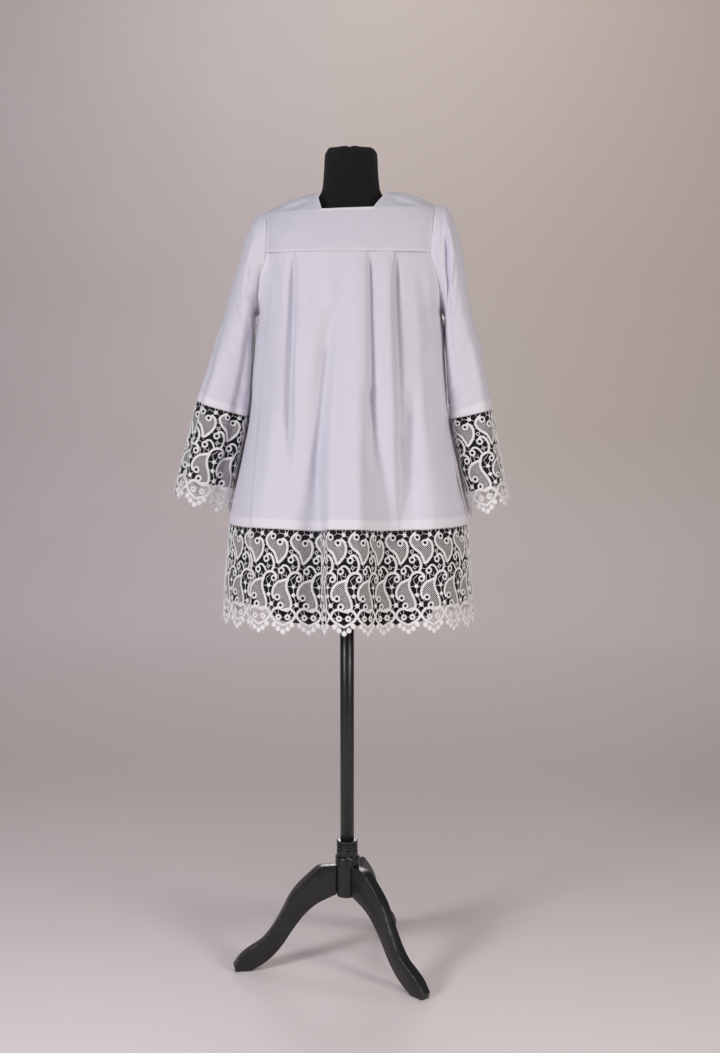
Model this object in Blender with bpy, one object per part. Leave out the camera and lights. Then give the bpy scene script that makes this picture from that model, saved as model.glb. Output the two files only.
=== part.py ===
"""Surplice on a limbless dress form and a tripod stand.

Metres, +Z up, the front faces -Y and the viewer's left is -X. Every piece of cloth or lace is a wall: a
surface worked out from the tables below, and a second one under it, joined along the edges. The body is
a stack of level plan curves with folds added along their normals. The sleeves are stacks of tilted
sections that begin at the armhole. The lace is one flat repeat, laid round the hem and the cuffs.
"""
import math

import bmesh
import bpy
import numpy as np
from mathutils import Vector
from mathutils.geometry import delaunay_2d_cdt

MM = 0.001

# Driving dimensions
CLOTH_THICK = 0.0014
LACE_THICK = 0.0016
LINING_THICK = 0.0012
SEAM_GAP = 0.0004
SLEEVE_GAP = 0.0006  # between a sleeve and the armhole it is sewn to
CUFF_LINING_GAP = 0.0040
HEM_LINING_GAP = 0.0080
CENTRE = (0.022, 0.006)  # the garment's centre line in plan, so that the origin is under the middle
YOKE_SEAM_Z = 1.488
UNDERARM_Z = 1.372
HEM_Z = 0.948
MID_Z = 1.200
LACE_TALL = 0.205
LINING_TALL = 0.152
POLE_X = -0.007  # the pole's axis from the garment's centre line
POLE_RADIUS = 0.0145
POLE_FOOT_Z = 0.2728
ROUND_SIDES = 16
HUB_SIDES = 6  # points round the hub from one leg to the next
HUB_RADIUS = 0.0263
LEG_THICK = 0.022
LEG_ANGLES = {"leg_rear": 68.5, "leg_left": 191.5, "leg_right": 314.5}

# Plan of the body: half widths to the viewer's left and right, depths to the front and back
BODY_COLUMNS = ("z", "left", "right", "front", "back", "squareness")
BODY = (
    (0.730, 0.265, 0.257, 0.194, 0.190, 2.2),
    (0.948, 0.249, 0.241, 0.184, 0.182, 2.2),
    (1.060, 0.225, 0.208, 0.168, 0.168, 2.3),
    (1.163, 0.204, 0.197, 0.156, 0.154, 2.35),
    (1.250, 0.197, 0.191, 0.147, 0.142, 2.4),
    (1.372, 0.186, 0.186, 0.134, 0.124, 2.5),
    (1.488, 0.162, 0.163, 0.1185, 0.106, 2.6),
)

# Folds of a panel, from its left side to its right as seen from outside, in millimetres. Each row is the
# edge where a fold begins: its place across, the width of its flank, and the level of the cloth beyond it,
# at the yoke seam, at MID_Z and at the hem.
FOLD_COLUMNS = ("name", "x", "flank", "level")
FRONT_FOLDS = (
    ("side", (-400, -400, -400), (1, 1, 1), (-7, 0, 0)),
    ("left side pleat", (-145, -172, -178), (4, 14, 26), (-4, 7, 34)),
    ("left pleat", (-101, -98, -92), (3, 12, 60), (-0.5, 9, 2)),
    ("left soft fold", (-62, -46, -37), (26, 46, 26), (0, 14, 50)),
    ("right pleat", (40, 45, 50), (3, 16, 54), (-3.5, 0, -12)),
    ("right ridge", (64, 70, 92), (20, 20, 22), (-3, 6, 6)),
    ("right outer pleat", (92, 108, 114), (3, 16, 20), (-7, -2, 0)),
    ("right panel", (112, 132, 146), (16, 22, 30), (-7, 3, 9)),
    ("right side", (150, 180, 212), (16, 16, 40), (-7, 0, 0)),
)
BACK_FOLDS = (
    ("side", (-400, -400, -400), (1, 1, 1), (-7, 0, 0)),
    ("left outer pleat", (-104, -118, -150), (3, 16, 34), (-3.5, 10, 28)),
    ("left inner pleat", (-60, -70, -92), (3, 16, 36), (0, 1, -6)),
    ("left middle fold", (-26, -30, -40), (20, 24, 34), (0, 12, 44)),
    ("right middle fold", (24, 28, 36), (20, 24, 36), (0, 3, -6)),
    ("right inner pleat", (60, 68, 86), (3, 16, 34), (-3.5, 12, 38)),
    ("right outer pleat", (104, 122, 146), (3, 16, 40), (-7, 0, 0)),
)
BODY_ROWS_Z = (1.315, 1.250, 1.163, 1.060, 1.000, HEM_Z)  # below the underarm
PANEL_COLUMNS = {  # in each stretch between the flanks' edges
    -1: (5, 1, 3, 1, 2, 1, 3, 2, 2, 1, 2, 1, 2, 1, 3, 1, 5),
    1: (6, 1, 3, 1, 3, 2, 4, 2, 3, 1, 3, 1, 6),
}
FOLD_START_Z = 1.15  # below this the hem rises on its folds
COLUMN_GAP = 0.006  # the least distance between two columns of a panel, as a part of its width
EDGE_CALM = 0.014  # the folds die away this close to a panel's edge
SIDE_CALM = 0.45  # and at the body's sides, over this part of the panel's depth
PLAN_POINTS = 1201  # along each plan curve, before it is divided
YOKE_POINTS = 601  # along each level line of a yoke
TIE = 1e-9  # keeps the last row and column of a grid inside it
JOIN = 1e-5  # points of the flat repeat that are nearer than this are one
LIFT = 0.17  # how far the hem rises on a fold that swings outwards, as a part of the fold's level

# Armholes: angles down the front half of the loop, from the shoulder's top to the underarm
STRAP_ANGLES = (0, 12, 23, 33)
YOKE_ANGLES = (33, 48, 62, 76, 90)
BODY_ANGLES = (90, 107, 124, 141, 160, 180)
ARMHOLE_DEEP = 0.074
ARMHOLE_POWER = 2.3
ARMHOLE_X = {  # (z, x outwards)
    -1: ((1.372, 0.186), (1.440, 0.176), (1.488, 0.162), (1.540, 0.162), (1.576, 0.164)),
    1: ((1.372, 0.186), (1.440, 0.177), (1.488, 0.163), (1.540, 0.167), (1.588, 0.169)),
}
SHOULDER_TOP_Z = {-1: 1.576, 1: 1.588}
NECK_SIDE = {-1: (0.067, 1.613), 1: (0.080, 1.615)}  # (x outwards, z) of the strap's top at the neck
SEAM_LEAN = {-1: (0.0, -0.72, 0.69), 1: (0.0, 0.72, 0.69)}  # outwards, where a strap meets a yoke
YOKE_PLAN = {-1: (0.1185, 0.085, 0.051), 1: (0.106, 0.082, 0.060)}  # depth at its foot and top, neck corner
YOKE_RISE = 0.006  # how much higher the neck's edge is than the ends of the shoulder seam
YOKE_ROWS = (1.0, 0.75, 0.5, 0.25, 0.0)
STRAP_BEND = 2.2  # how round a strap's neck edge is
STRAP_COLUMNS = 7
NECK_COLUMNS = 6

# Sleeves: each section's outer and inner edge from the front, its half depth and its shift to the back
SLEEVE_COLUMNS = ("down", "outer_x", "outer_z", "inner_x", "inner_z", "deep", "back", "power")
SLEEVES = {
    -1: (
        (0.00, 0.164, 1.576, 0.186, 1.372, 0.074, 0.000, 2.3),
        (0.07, 0.184, 1.568, 0.192, 1.366, 0.078, 0.000, 2.3),
        (0.15, 0.203, 1.542, 0.194, 1.350, 0.081, 0.004, 2.2),
        (0.28, 0.222, 1.486, 0.195, 1.322, 0.083, 0.012, 2.2),
        (0.50, 0.253, 1.390, 0.196, 1.268, 0.083, 0.024, 2.1),
        (0.72, 0.286, 1.290, 0.199, 1.213, 0.084, 0.032, 2.1),
        (1.00, 0.318, 1.196, 0.205, 1.164, 0.085, 0.036, 2.1),
        (1.60, 0.371, 0.997, 0.247, 0.962, 0.087, 0.036, 2.1),
    ),
    1: (
        (0.00, 0.169, 1.588, 0.186, 1.372, 0.074, 0.000, 2.3),
        (0.07, 0.193, 1.582, 0.190, 1.366, 0.078, 0.000, 2.3),
        (0.15, 0.209, 1.556, 0.191, 1.350, 0.083, 0.004, 2.2),
        (0.28, 0.226, 1.500, 0.191, 1.322, 0.087, 0.012, 2.2),
        (0.50, 0.243, 1.396, 0.192, 1.268, 0.090, 0.026, 2.1),
        (0.72, 0.268, 1.300, 0.194, 1.213, 0.092, 0.034, 2.1),
        (1.00, 0.291, 1.180, 0.198, 1.160, 0.094, 0.040, 2.1),
        (1.60, 0.328, 0.986, 0.238, 0.957, 0.098, 0.040, 2.1),
    ),
}
ARMHOLE_FADE = 0.16  # the part of a sleeve's length over which its sections leave the armhole's own loop
FOLD_FADE = 0.2  # and over which its folds begin
SLEEVE_ROWS = (0.0, 0.04, 0.10, 0.18, 0.30, 0.50, 0.74, 1.0)
# Folds of a sleeve in millimetres: bearing round it from the viewer's left through the front, half width,
# and level at the armhole, half-way and at the cuff
SLEEVE_FOLD_COLUMNS = ("name", "bearing", "wide", "top", "middle", "cuff")
SLEEVE_FOLDS = {
    -1: (
        ("outer fold", 38, 22, 0, -3, -9),
        ("front ridge", 118, 26, 4, 4, 3),
        ("inner trough", 150, 22, -3, -4, -7),
        ("back trough", 250, 26, -3, -5, -7),
    ),
    1: (
        ("front trough", 62, 22, -5, -2, -3),
        ("outer ridge", 118, 30, 3, 2, 3),
        ("back trough", 245, 26, -3, -5, -7),
        ("outer back trough", 300, 22, 0, -3, -6),
    ),
}

# The lace's repeat in millimetres: x from the heart's axis, y down from the top edge
REPEAT_WIDE = 53.0
REPEAT_TALL = 205.0
REPEAT_LEFT = -22.2  # where one repeat meets the next, between the cut gaps
SCALLOP = ((-22.2, 186.0), (-13.5, 197.0), (0.0, 205.0), (13.5, 197.0), (22.6, 185.0), (26.5, 172.0))
GAP_COLUMNS = ("name", "x", "y", "half_wide", "half_tall", "turn", "corners")
GAPS = (
    ("below scroll", 3.0, 85.5, 6.6, 9.6, -12.0, 5),
    ("by leaf tip", -1.6, 61.0, 6.6, 4.6, 35.0, 4),
    ("inside upper scroll", 22.6, 65.0, 3.6, 6.6, 12.0, 5),
    ("over lower leaf", -9.0, 94.0, 4.4, 6.4, 24.0, 4),
    ("left of balls", 13.4, 119.0, 4.2, 6.8, 0.0, 4),
    ("right of balls", 27.0, 119.5, 3.8, 6.6, 0.0, 4),
)
EDGE_POINTS_Y = (0.0, 40.0, 88.0, 140.0)  # down both sides
INNER_POINTS = ((4.0, 32.0), (2.0, 148.0))
HEM_REPEATS = 16  # on each panel
CUFF_REPEATS = {"front": 5, "back": 4}
CUFF_TIP = 1.6  # how far down a sleeve its lace ends, its own seam being 1
SIDE_TRIM = 0.0005  # the part of a band left open at each end
LINING_COLUMNS = 24

# Dress form: level sections, and the neck's top
FORM_COLUMNS = ("z", "wide", "front", "back", "power")
FORM = (
    (0.748, 0.156, 0.106, 0.114, 2.2),
    (0.760, 0.167, 0.113, 0.122, 2.2),
    (0.850, 0.174, 0.118, 0.128, 2.2),
    (0.950, 0.172, 0.112, 0.122, 2.2),
    (1.060, 0.150, 0.098, 0.100, 2.2),
    (1.160, 0.129, 0.087, 0.085, 2.2),
    (1.270, 0.137, 0.097, 0.088, 2.2),
    (1.380, 0.150, 0.111, 0.097, 2.2),
    (1.470, 0.151, 0.102, 0.097, 2.3),
    (1.540, 0.146, 0.077, 0.086, 2.4),
    (1.562, 0.132, 0.066, 0.074, 2.3),
    (1.582, 0.097, 0.059, 0.064, 2.1),
    (1.600, 0.068, 0.055, 0.058, 2.0),
    (1.622, 0.0575, 0.053, 0.055, 2.0),
    (1.686, 0.0515, 0.050, 0.051, 2.0),
    (1.699, 0.0380, 0.037, 0.038, 2.0),
)
FORM_X = 0.002  # the form's axis from the garment's centre line
FORM_SIDES = 20

# Leg, from the side: distance from the pole's axis, and height
LEG_TOP = (
    (0.0245, 0.2200), (0.0560, 0.2185), (0.0830, 0.2000), (0.1180, 0.1635), (0.1410, 0.1210),
    (0.1610, 0.0880), (0.1815, 0.0640), (0.2070, 0.0480), (0.2260, 0.0340), (0.2420, 0.0130),
)
LEG_UNDER = (
    (0.0245, 0.1570), (0.0650, 0.1390), (0.0900, 0.1190), (0.1150, 0.0880), (0.1400, 0.0520),
    (0.1635, 0.0265), (0.1820, 0.0130), (0.2050, 0.0000), (0.2380, 0.0000),
)
# Turned pieces: radius and height up their outer side
HUB_PROFILE = ((0.020, 0.151), (0.0250, 0.1545), (HUB_RADIUS, 0.160), (HUB_RADIUS, 0.234), (0.0245, 0.2385))
COLLAR_PROFILE = (
    (0.0205, 0.2388), (0.0222, 0.2405), (0.0222, 0.2510), (0.0205, 0.2535), (0.0222, 0.2560),
    (0.0222, 0.2680), (0.0195, 0.2725),
)


def column(table, names, name, at, key=0):
    """A named column of a table, read smoothly at the values `at` of its key column."""
    keys = np.array([row[key] for row in table], float)
    values = np.array([row[names.index(name)] for row in table], float)
    return curve_through(keys, values, at)


def curve_through(keys, values, at):
    """A smooth curve through points, with slopes that never overshoot the steps between them."""
    keys, values = np.asarray(keys, float), np.asarray(values, float)
    at = np.clip(np.asarray(at, float), keys[0], keys[-1])
    step = np.diff(keys)
    rise = np.diff(values) / step
    slope = np.empty(len(keys))
    slope[0], slope[-1] = rise[0], rise[-1]
    turning = rise[:-1] * rise[1:] <= 0
    mean = 2.0 * rise[:-1] * rise[1:] / np.where(turning, 1.0, rise[:-1] + rise[1:])
    slope[1:-1] = np.where(turning, 0.0, mean)
    here = np.clip(np.searchsorted(keys, at, side="right") - 1, 0, len(step) - 1)
    t = (at - keys[here]) / step[here]
    return (
        values[here] * (1 + 2 * t) * (1 - t) ** 2
        + step[here] * slope[here] * t * (1 - t) ** 2
        + values[here + 1] * t * t * (3 - 2 * t)
        - step[here] * slope[here + 1] * t * t * (1 - t)
    )


def ease(t):
    """0 before 0, 1 after 1, and a soft rise between."""
    t = np.clip(t, 0.0, 1.0)
    return t * t * (3 - 2 * t)


def super_wave(angle, power):
    """Cosine and sine of a squared-off circle."""
    c, s = np.cos(angle), np.sin(angle)
    return np.sign(c) * np.abs(c) ** (2 / power), np.sign(s) * np.abs(s) ** (2 / power)


def armhole(side, angle):
    """A point of the armhole's loop: 0 degrees at the shoulder, 90 at the front, 180 at the underarm."""
    c, s = super_wave(np.radians(angle), ARMHOLE_POWER)
    rise = np.where(c > 0, SHOULDER_TOP_Z[side] - YOKE_SEAM_Z, YOKE_SEAM_Z - UNDERARM_Z)
    z = YOKE_SEAM_Z + rise * c
    x = side * column(ARMHOLE_X[side], ("z", "x"), "x", z)
    return np.stack([x, -ARMHOLE_DEEP * s, z], axis=-1)


def by_height(z, at_yoke, at_mid, at_hem):
    """A fold's value at height z, from its values at the yoke seam, MID_Z and the hem."""
    return curve_through((HEM_Z, MID_Z, YOKE_SEAM_Z), (at_hem, at_mid, at_yoke), z)


def fold_level(folds, x, z):
    """How far the folds move the cloth outwards at x, in metres."""
    level = np.full(np.shape(x), by_height(z, *folds[0][3]))
    for before, (_, edge, flank, beyond) in zip(folds, folds[1:]):
        start = by_height(z, *before[3])
        change = by_height(z, *beyond) - start
        wide = by_height(z, *flank)
        level = level + change * ease((x / MM - by_height(z, *edge)) / wide + 0.5)
    return level * MM


def plan_line(face, a, b, deep, power, count=PLAN_POINTS):
    """A squared-off half ring in plan, from point a to point b as seen from outside.

    Its half widths are those that take the ring through both points. face is -1 at the front, 1 at the back.
    """
    ends, halves = [], []
    for point in (a, b):
        angle = math.asin(min(abs(point[1]) / deep, 1.0) ** (power / 2))
        ends.append(angle)
        halves.append(abs(point[0]) / math.cos(angle) ** (2 / power))
    c, s = super_wave(np.linspace(math.pi - ends[0], ends[1], count), power)
    x = -face * np.where(c < 0, halves[0], halves[1]) * c
    part = (x - x[0]) / (x[-1] - x[0])
    return np.stack([x, face * deep * s, a[2] + (b[2] - a[2]) * part], axis=1), s


def body_curve(face, z, left=None, right=None):
    """The body's plan curve at height z, from the panel's left edge to its right as seen from outside.

    Above the underarm, left and right are points of the viewer's left and right armholes.
    """
    deep = float(column(BODY, BODY_COLUMNS, "front" if face < 0 else "back", z))
    power = float(column(BODY, BODY_COLUMNS, "squareness", z))
    if left is None:
        left = np.array([-float(column(BODY, BODY_COLUMNS, "left", z)), 0.0, z])
        right = np.array([float(column(BODY, BODY_COLUMNS, "right", z)), 0.0, z])
    line, s = plan_line(face, *((left, right) if face < 0 else (right, left)), deep, power)
    normal = np.stack([np.gradient(line[:, 1]), -np.gradient(line[:, 0]), np.zeros(len(line))], axis=1)
    normal /= np.linalg.norm(normal, axis=1)[:, None]
    folds = FRONT_FOLDS if face < 0 else BACK_FOLDS
    length = along(line)
    edge = np.minimum(length, length[-1] - length)
    level = fold_level(folds, -face * line[:, 0], z) * ease(s / SIDE_CALM) * ease(edge / EDGE_CALM)
    line[:, 2] = z + LIFT * np.maximum(level, 0) * ease((FOLD_START_Z - z) / (FOLD_START_Z - HEM_Z))
    return line + normal * level[:, None]


def along(points):
    """Distance along a line of points."""
    return np.concatenate([[0], np.cumsum(np.linalg.norm(np.diff(points, axis=0), axis=1))])


def resample(points, parts):
    """Points at the given parts of a line's length."""
    s = along(points)
    return np.stack([np.interp(parts * s[-1], s, points[:, k]) for k in range(3)], axis=1)


def fold_parts(face, z, points):
    """Parts of the curve's length that follow the folds' flanks down the panel."""
    folds = FRONT_FOLDS if face < 0 else BACK_FOLDS
    s = along(points) / along(points)[-1]
    marks = [0.0]
    for _, edge, flank, _ in folds[1:]:
        middle, wide = by_height(z, *edge) * MM, by_height(z, *flank) * MM
        for x in (middle - wide / 2, middle + wide / 2):
            marks.append(float(np.interp(x, -face * points[:, 0], s)))
    marks.append(1.0)
    steps = COLUMN_GAP * np.arange(len(marks))
    marks = np.maximum.accumulate(np.array(marks) - steps) + steps
    marks = np.minimum(marks, 1.0 - steps[::-1])
    pieces = [np.linspace(a, b, n, endpoint=False) for a, b, n in zip(marks, marks[1:], PANEL_COLUMNS[face])]
    return np.append(np.concatenate(pieces), 1.0)


def grid_normals(grid):
    """Unit normals of a grid of points, rows going down and columns going right: they point outwards."""
    normal = np.cross(np.gradient(grid, axis=1), -np.gradient(grid, axis=0))
    return normal / np.linalg.norm(normal, axis=2)[..., None]


def closed_normals(grid):
    """The same for a grid whose columns go once round a tube, without the first one again."""
    wide = np.concatenate([grid[:, -1:], grid, grid[:, :1]], axis=1)
    return grid_normals(wide)[:, 1:-1]


def grid_faces(rows, columns, closed=False):
    """Quads of a grid, facing the viewer from outside."""
    faces = []
    for j in range(rows - 1):
        for i in range(columns if closed else columns - 1):
            k = (i + 1) % columns
            faces.append((j * columns + i, (j + 1) * columns + i, (j + 1) * columns + k, j * columns + k))
    return faces


def material(name, colour, roughness, metallic=0.0):
    """A plain surface."""
    made = bpy.data.materials.new(name)
    made.use_nodes = True
    surface = made.node_tree.nodes["Principled BSDF"]
    surface.inputs["Base Color"].default_value = (*colour, 1.0)
    surface.inputs["Roughness"].default_value = roughness
    surface.inputs["Metallic"].default_value = metallic
    return made


def solid(name, points, faces, surface):
    """A named object from points about the garment's centre line."""
    mesh = bpy.data.meshes.new(name)
    moved = np.asarray(points, float) + np.array([*CENTRE, 0.0])
    mesh.from_pydata(moved.tolist(), [], [tuple(int(v) for v in face) for face in faces])
    work = bmesh.new()
    work.from_mesh(mesh)
    bmesh.ops.recalc_face_normals(work, faces=work.faces)
    work.to_mesh(mesh)
    work.free()
    mesh.materials.append(surface)
    mesh.shade_smooth()
    mesh.set_sharp_from_angle(angle=math.radians(40))
    made = bpy.data.objects.new(name, mesh)
    bpy.context.collection.objects.link(made)
    return made


def wall(name, outer, inner, faces, surface):
    """A closed wall between two matching sheets of points, joined along every open edge."""
    count = len(outer)
    uses = {}
    for face in faces:
        for a, b in zip(face, face[1:] + face[:1]):
            uses[frozenset((a, b))] = (a, b) if frozenset((a, b)) not in uses else None
    joined = list(faces) + [tuple(v + count for v in reversed(face)) for face in faces]
    joined += [(b, a, a + count, b + count) for a, b in filter(None, uses.values())]
    return solid(name, np.concatenate([outer, inner]), joined, surface)


def sheet_wall(name, grid, thick, surface, closed=False, lean=None):
    """A wall whose outer face is a grid of points. lean gives some rows the normal they share at a seam."""
    normal = closed_normals(grid) if closed else grid_normals(grid)
    for row, direction in (lean or {}).items():
        normal[row] = direction
    rows, columns = grid.shape[:2]
    faces = grid_faces(rows, columns, closed)
    return wall(name, grid.reshape(-1, 3), (grid - normal * thick).reshape(-1, 3), faces, surface)


def make_body(face, surface):
    """A pleated panel, from the yoke seam and the armholes down to the hem."""
    angles = np.array(BODY_ANGLES, float)
    if face > 0:
        angles = 360 - angles
    arms = {side: armhole(side, angles) for side in (-1, 1)}
    curves = []
    for k, z in enumerate(arms[1][:, 2]):
        z = z - SEAM_GAP if k == 0 else z
        curves.append((z, body_curve(face, z, arms[-1][k], arms[1][k])))
    curves += [(z, body_curve(face, z)) for z in BODY_ROWS_Z]
    rows = [resample(curve, fold_parts(face, z, curve)) for z, curve in curves]
    grid = np.stack(rows)
    grid[:, 0, 1] += face * SEAM_GAP
    grid[:, -1, 1] += face * SEAM_GAP
    return sheet_wall("body_front" if face < 0 else "body_back", grid, CLOTH_THICK, surface)


def yoke_row(face, part):
    """A level line of a yoke, at a part of the way from its lower seam to its shoulder seam.

    Its points are shared out between the two shoulder seams and the neck's edge.
    """
    angles = np.array(YOKE_ANGLES, float)[::-1]
    angle = np.interp(part, np.linspace(0, 1, len(angles)), angles)
    angle = angle if face < 0 else 360 - angle
    a, b = armhole(-1, angle), armhole(1, angle)
    if face > 0:
        a, b = b, a
    bottom, top, corner = YOKE_PLAN[face]
    line, s = plan_line(face, a, b, bottom + (top - bottom) * part, BODY[-1][-1], YOKE_POINTS)
    line[:, 2] += YOKE_RISE * part * s
    length = along(line) / along(line)[-1]
    near, far = np.interp((-corner, corner), -face * line[:, 0], length)
    parts = np.concatenate([
        np.linspace(0, near, STRAP_COLUMNS)[:-1], np.linspace(near, far, NECK_COLUMNS)[:-1],
        np.linspace(far, 1, STRAP_COLUMNS),
    ])
    return resample(line, parts)


def make_yoke(face, surface):
    """A straight yoke strip."""
    grid = np.stack([yoke_row(face, part) for part in YOKE_ROWS])
    name = "yoke_front" if face < 0 else "yoke_back"
    return sheet_wall(name, grid, CLOTH_THICK, surface, lean={0: SEAM_LEAN[face]})


def seam_line(face, side):
    """The shoulder seam of a yoke, from the neck's corner to the armhole."""
    row = yoke_row(face, 1.0)
    row = row[np.argsort(side * row[:, 0])]
    return row[-STRAP_COLUMNS:] + np.array([0.0, 0.0, SEAM_GAP])


def make_strap(side, surface, over=9):
    """A shoulder strap, filled in between its two seams, the neck's edge and the armhole."""
    front, back = seam_line(-1, side), seam_line(1, side)
    half = np.array(STRAP_ANGLES, float)
    loop = np.concatenate([half[::-1], -half[1:]])
    angles = np.interp(np.linspace(0, 1, over), np.linspace(0, 1, len(loop)), loop)
    arm = armhole(side, angles)
    arm[0], arm[-1] = front[-1], back[-1]
    e = np.linspace(0, 1, over)
    top_x, top_z = NECK_SIDE[side]
    bend = 1 - np.abs(2 * e - 1) ** STRAP_BEND
    neck = front[0] + (back[0] - front[0]) * e[:, None]
    middle = (front[0] + back[0]) / 2
    neck += (np.array([side * top_x, 0.0, top_z]) - middle)[None, :] * bend[:, None]
    x = np.linspace(0, 1, STRAP_COLUMNS)[None, :, None]
    e = e[:, None, None]
    grid = (
        (1 - e) * front[None] + e * back[None] + (1 - x) * neck[:, None] + x * arm[:, None]
        - (1 - e) * ((1 - x) * front[0] + x * front[-1]) - e * ((1 - x) * back[0] + x * back[-1])
    )
    grid = grid[::-1, ::-1] if side < 0 else grid[::-1]
    name = "shoulder_strap_left" if side < 0 else "shoulder_strap_right"
    return sheet_wall(name, grid, CLOTH_THICK, surface, lean={0: SEAM_LEAN[1], over - 1: SEAM_LEAN[-1]})


def sleeve_ring(side, down, bearings):
    """A section of a sleeve: bearings in degrees from the viewer's left, 90 at the front."""
    rows = SLEEVES[side]
    read = {name: float(column(rows, SLEEVE_COLUMNS, name, down)) for name in SLEEVE_COLUMNS[1:]}
    outer = np.array([side * read["outer_x"], read["back"], read["outer_z"]])
    inner = np.array([side * read["inner_x"], read["back"], read["inner_z"]])
    angles = bearings if side < 0 else 180.0 - bearings
    c, s = super_wave(np.radians(angles), read["power"])
    centre = (outer + inner) / 2
    points = centre + (outer - centre) * c[:, None] + np.array([0, -read["deep"], 0]) * s[:, None]
    blend = 1 - float(ease(down / ARMHOLE_FADE))
    if blend:
        loop = armhole(side, angles)
        start = {name: float(column(rows, SLEEVE_COLUMNS, name, 0.0)) for name in SLEEVE_COLUMNS[1:]}
        top = np.array([side * start["outer_x"], 0, start["outer_z"]])
        low = np.array([side * start["inner_x"], 0, start["inner_z"]])
        c0, s0 = super_wave(np.radians(angles), start["power"])
        plain = (top + low) / 2 + (top - low) / 2 * c0[:, None]
        plain += np.array([0, -start["deep"], 0]) * s0[:, None]
        points += (loop - plain) * blend
    away = points - centre
    away /= np.linalg.norm(away, axis=1)[:, None]
    level = np.zeros(len(bearings))
    for _, bearing, wide, top, middle, cuff in SLEEVE_FOLDS[side]:
        off = (bearings - bearing + 180) % 360 - 180
        size = curve_through((0, 0.5, 1), (top, middle, cuff), down) * ease(down / FOLD_FADE)
        level += float(size) * MM * ease(1 - np.abs(off) / wide)
    return points + away * level[:, None]


def ring_bearings():
    """Bearings whose first section lies on the armhole's own points."""
    front = list(STRAP_ANGLES) + list(YOKE_ANGLES[1:]) + list(BODY_ANGLES[1:])
    return np.array(front + [360 - a for a in front[-2:0:-1]], float)


def make_sleeve(side, surface):
    """A sleeve, from the armhole to the seam of its lace."""
    bearings = ring_bearings()
    if side > 0:
        bearings = np.sort((180.0 - bearings) % 360)
    grid = np.stack([sleeve_ring(side, down, bearings) for down in SLEEVE_ROWS])
    grid[0, :, 0] += side * SLEEVE_GAP
    return sheet_wall("sleeve_left" if side < 0 else "sleeve_right", grid, CLOTH_THICK, surface, closed=True)


def within(p, loop):
    """Whether a point lies inside a closed outline."""
    inside = False
    for (x1, y1), (x2, y2) in zip(loop, loop[1:] + loop[:1]):
        if (y1 > p[1]) != (y2 > p[1]) and p[0] < (x2 - x1) * (p[1] - y1) / (y2 - y1) + x1:
            inside = not inside
    return inside


def lace_repeat():
    """Points and triangles of one repeat of the lace, in millimetres, with its gaps left out."""
    right = REPEAT_LEFT + REPEAT_WIDE
    low = SCALLOP[0][1]
    edge = [(REPEAT_LEFT, y) for y in EDGE_POINTS_Y] + list(SCALLOP) + [(right, low)]
    edge += [(right, y) for y in EDGE_POINTS_Y[::-1]] + [(right - REPEAT_WIDE / 2, 0.0)]
    loops = [edge]
    for _, x, y, wide, tall, turn, corners in GAPS:
        c, s = math.cos(math.radians(turn)), math.sin(math.radians(turn))
        around = [2 * math.pi * (k + 0.5) / corners for k in range(corners)]
        local = [(wide * math.cos(a), tall * math.sin(a)) for a in around]
        loops.append([(x + u * c - v * s, y + u * s + v * c) for u, v in local])
    points, lines = [], []
    for loop in loops:
        first = len(points)
        points += loop
        lines += [(first + k, first + (k + 1) % len(loop)) for k in range(len(loop))]
    points += list(INNER_POINTS)
    made, _, faces, *_ = delaunay_2d_cdt([Vector(p) for p in points], lines, [], 0, JOIN)
    made = np.array([tuple(p) for p in made])

    kept = []
    for face in faces:
        middle = made[list(face)].mean(axis=0)
        if within(middle, loops[0]) and not any(within(middle, loop) for loop in loops[1:]):
            kept.append(tuple(face))
    return made, kept


def lay_lace(name, repeats, sheet, surface):
    """A band of lace on a sheet of points, whose rows go down the lace and columns along it evenly."""
    points, faces = lace_repeat()
    index, flat, all_faces = {}, [], []
    for k in range(repeats):
        for face in faces:
            joined = []
            for v in face:
                x, y = points[v][0] - REPEAT_LEFT + k * REPEAT_WIDE, points[v][1]
                key = (round(x, 3), round(y, 3))
                if key not in index:
                    index[key] = len(flat)
                    flat.append((x, y))
                joined.append(index[key])
            all_faces.append(tuple(joined))
    flat = np.array(flat)
    u = flat[:, 0] / (repeats * REPEAT_WIDE)
    v = flat[:, 1] / REPEAT_TALL
    normal = grid_normals(sheet)
    outer = read_grid(sheet, u, v)
    lean = read_grid(normal, u, v)
    lean /= np.linalg.norm(lean, axis=1)[:, None]
    return wall(name, outer, outer - lean * LACE_THICK, all_faces, surface)


def read_grid(grid, u, v):
    """Values of a grid at parts u along its rows and v down its columns."""
    rows, columns = grid.shape[:2]
    i = np.clip(u * (columns - 1), 0, columns - 1 - TIE)
    j = np.clip(v * (rows - 1), 0, rows - 1 - TIE)
    i0, j0 = i.astype(int), j.astype(int)
    a, b = (i - i0)[:, None], (j - j0)[:, None]
    return (
        grid[j0, i0] * (1 - a) * (1 - b) + grid[j0, i0 + 1] * a * (1 - b)
        + grid[j0 + 1, i0] * (1 - a) * b + grid[j0 + 1, i0 + 1] * a * b
    )


def hem_sheet(face, rows=13, columns=901):
    """The sheet that carries the hem's lace: the body's curves below the hem."""
    parts = np.linspace(SIDE_TRIM, 1 - SIDE_TRIM, columns)
    heights = HEM_Z - SEAM_GAP - np.linspace(0, LACE_TALL, rows)
    return np.stack([resample(body_curve(face, z), parts) for z in heights])


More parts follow.
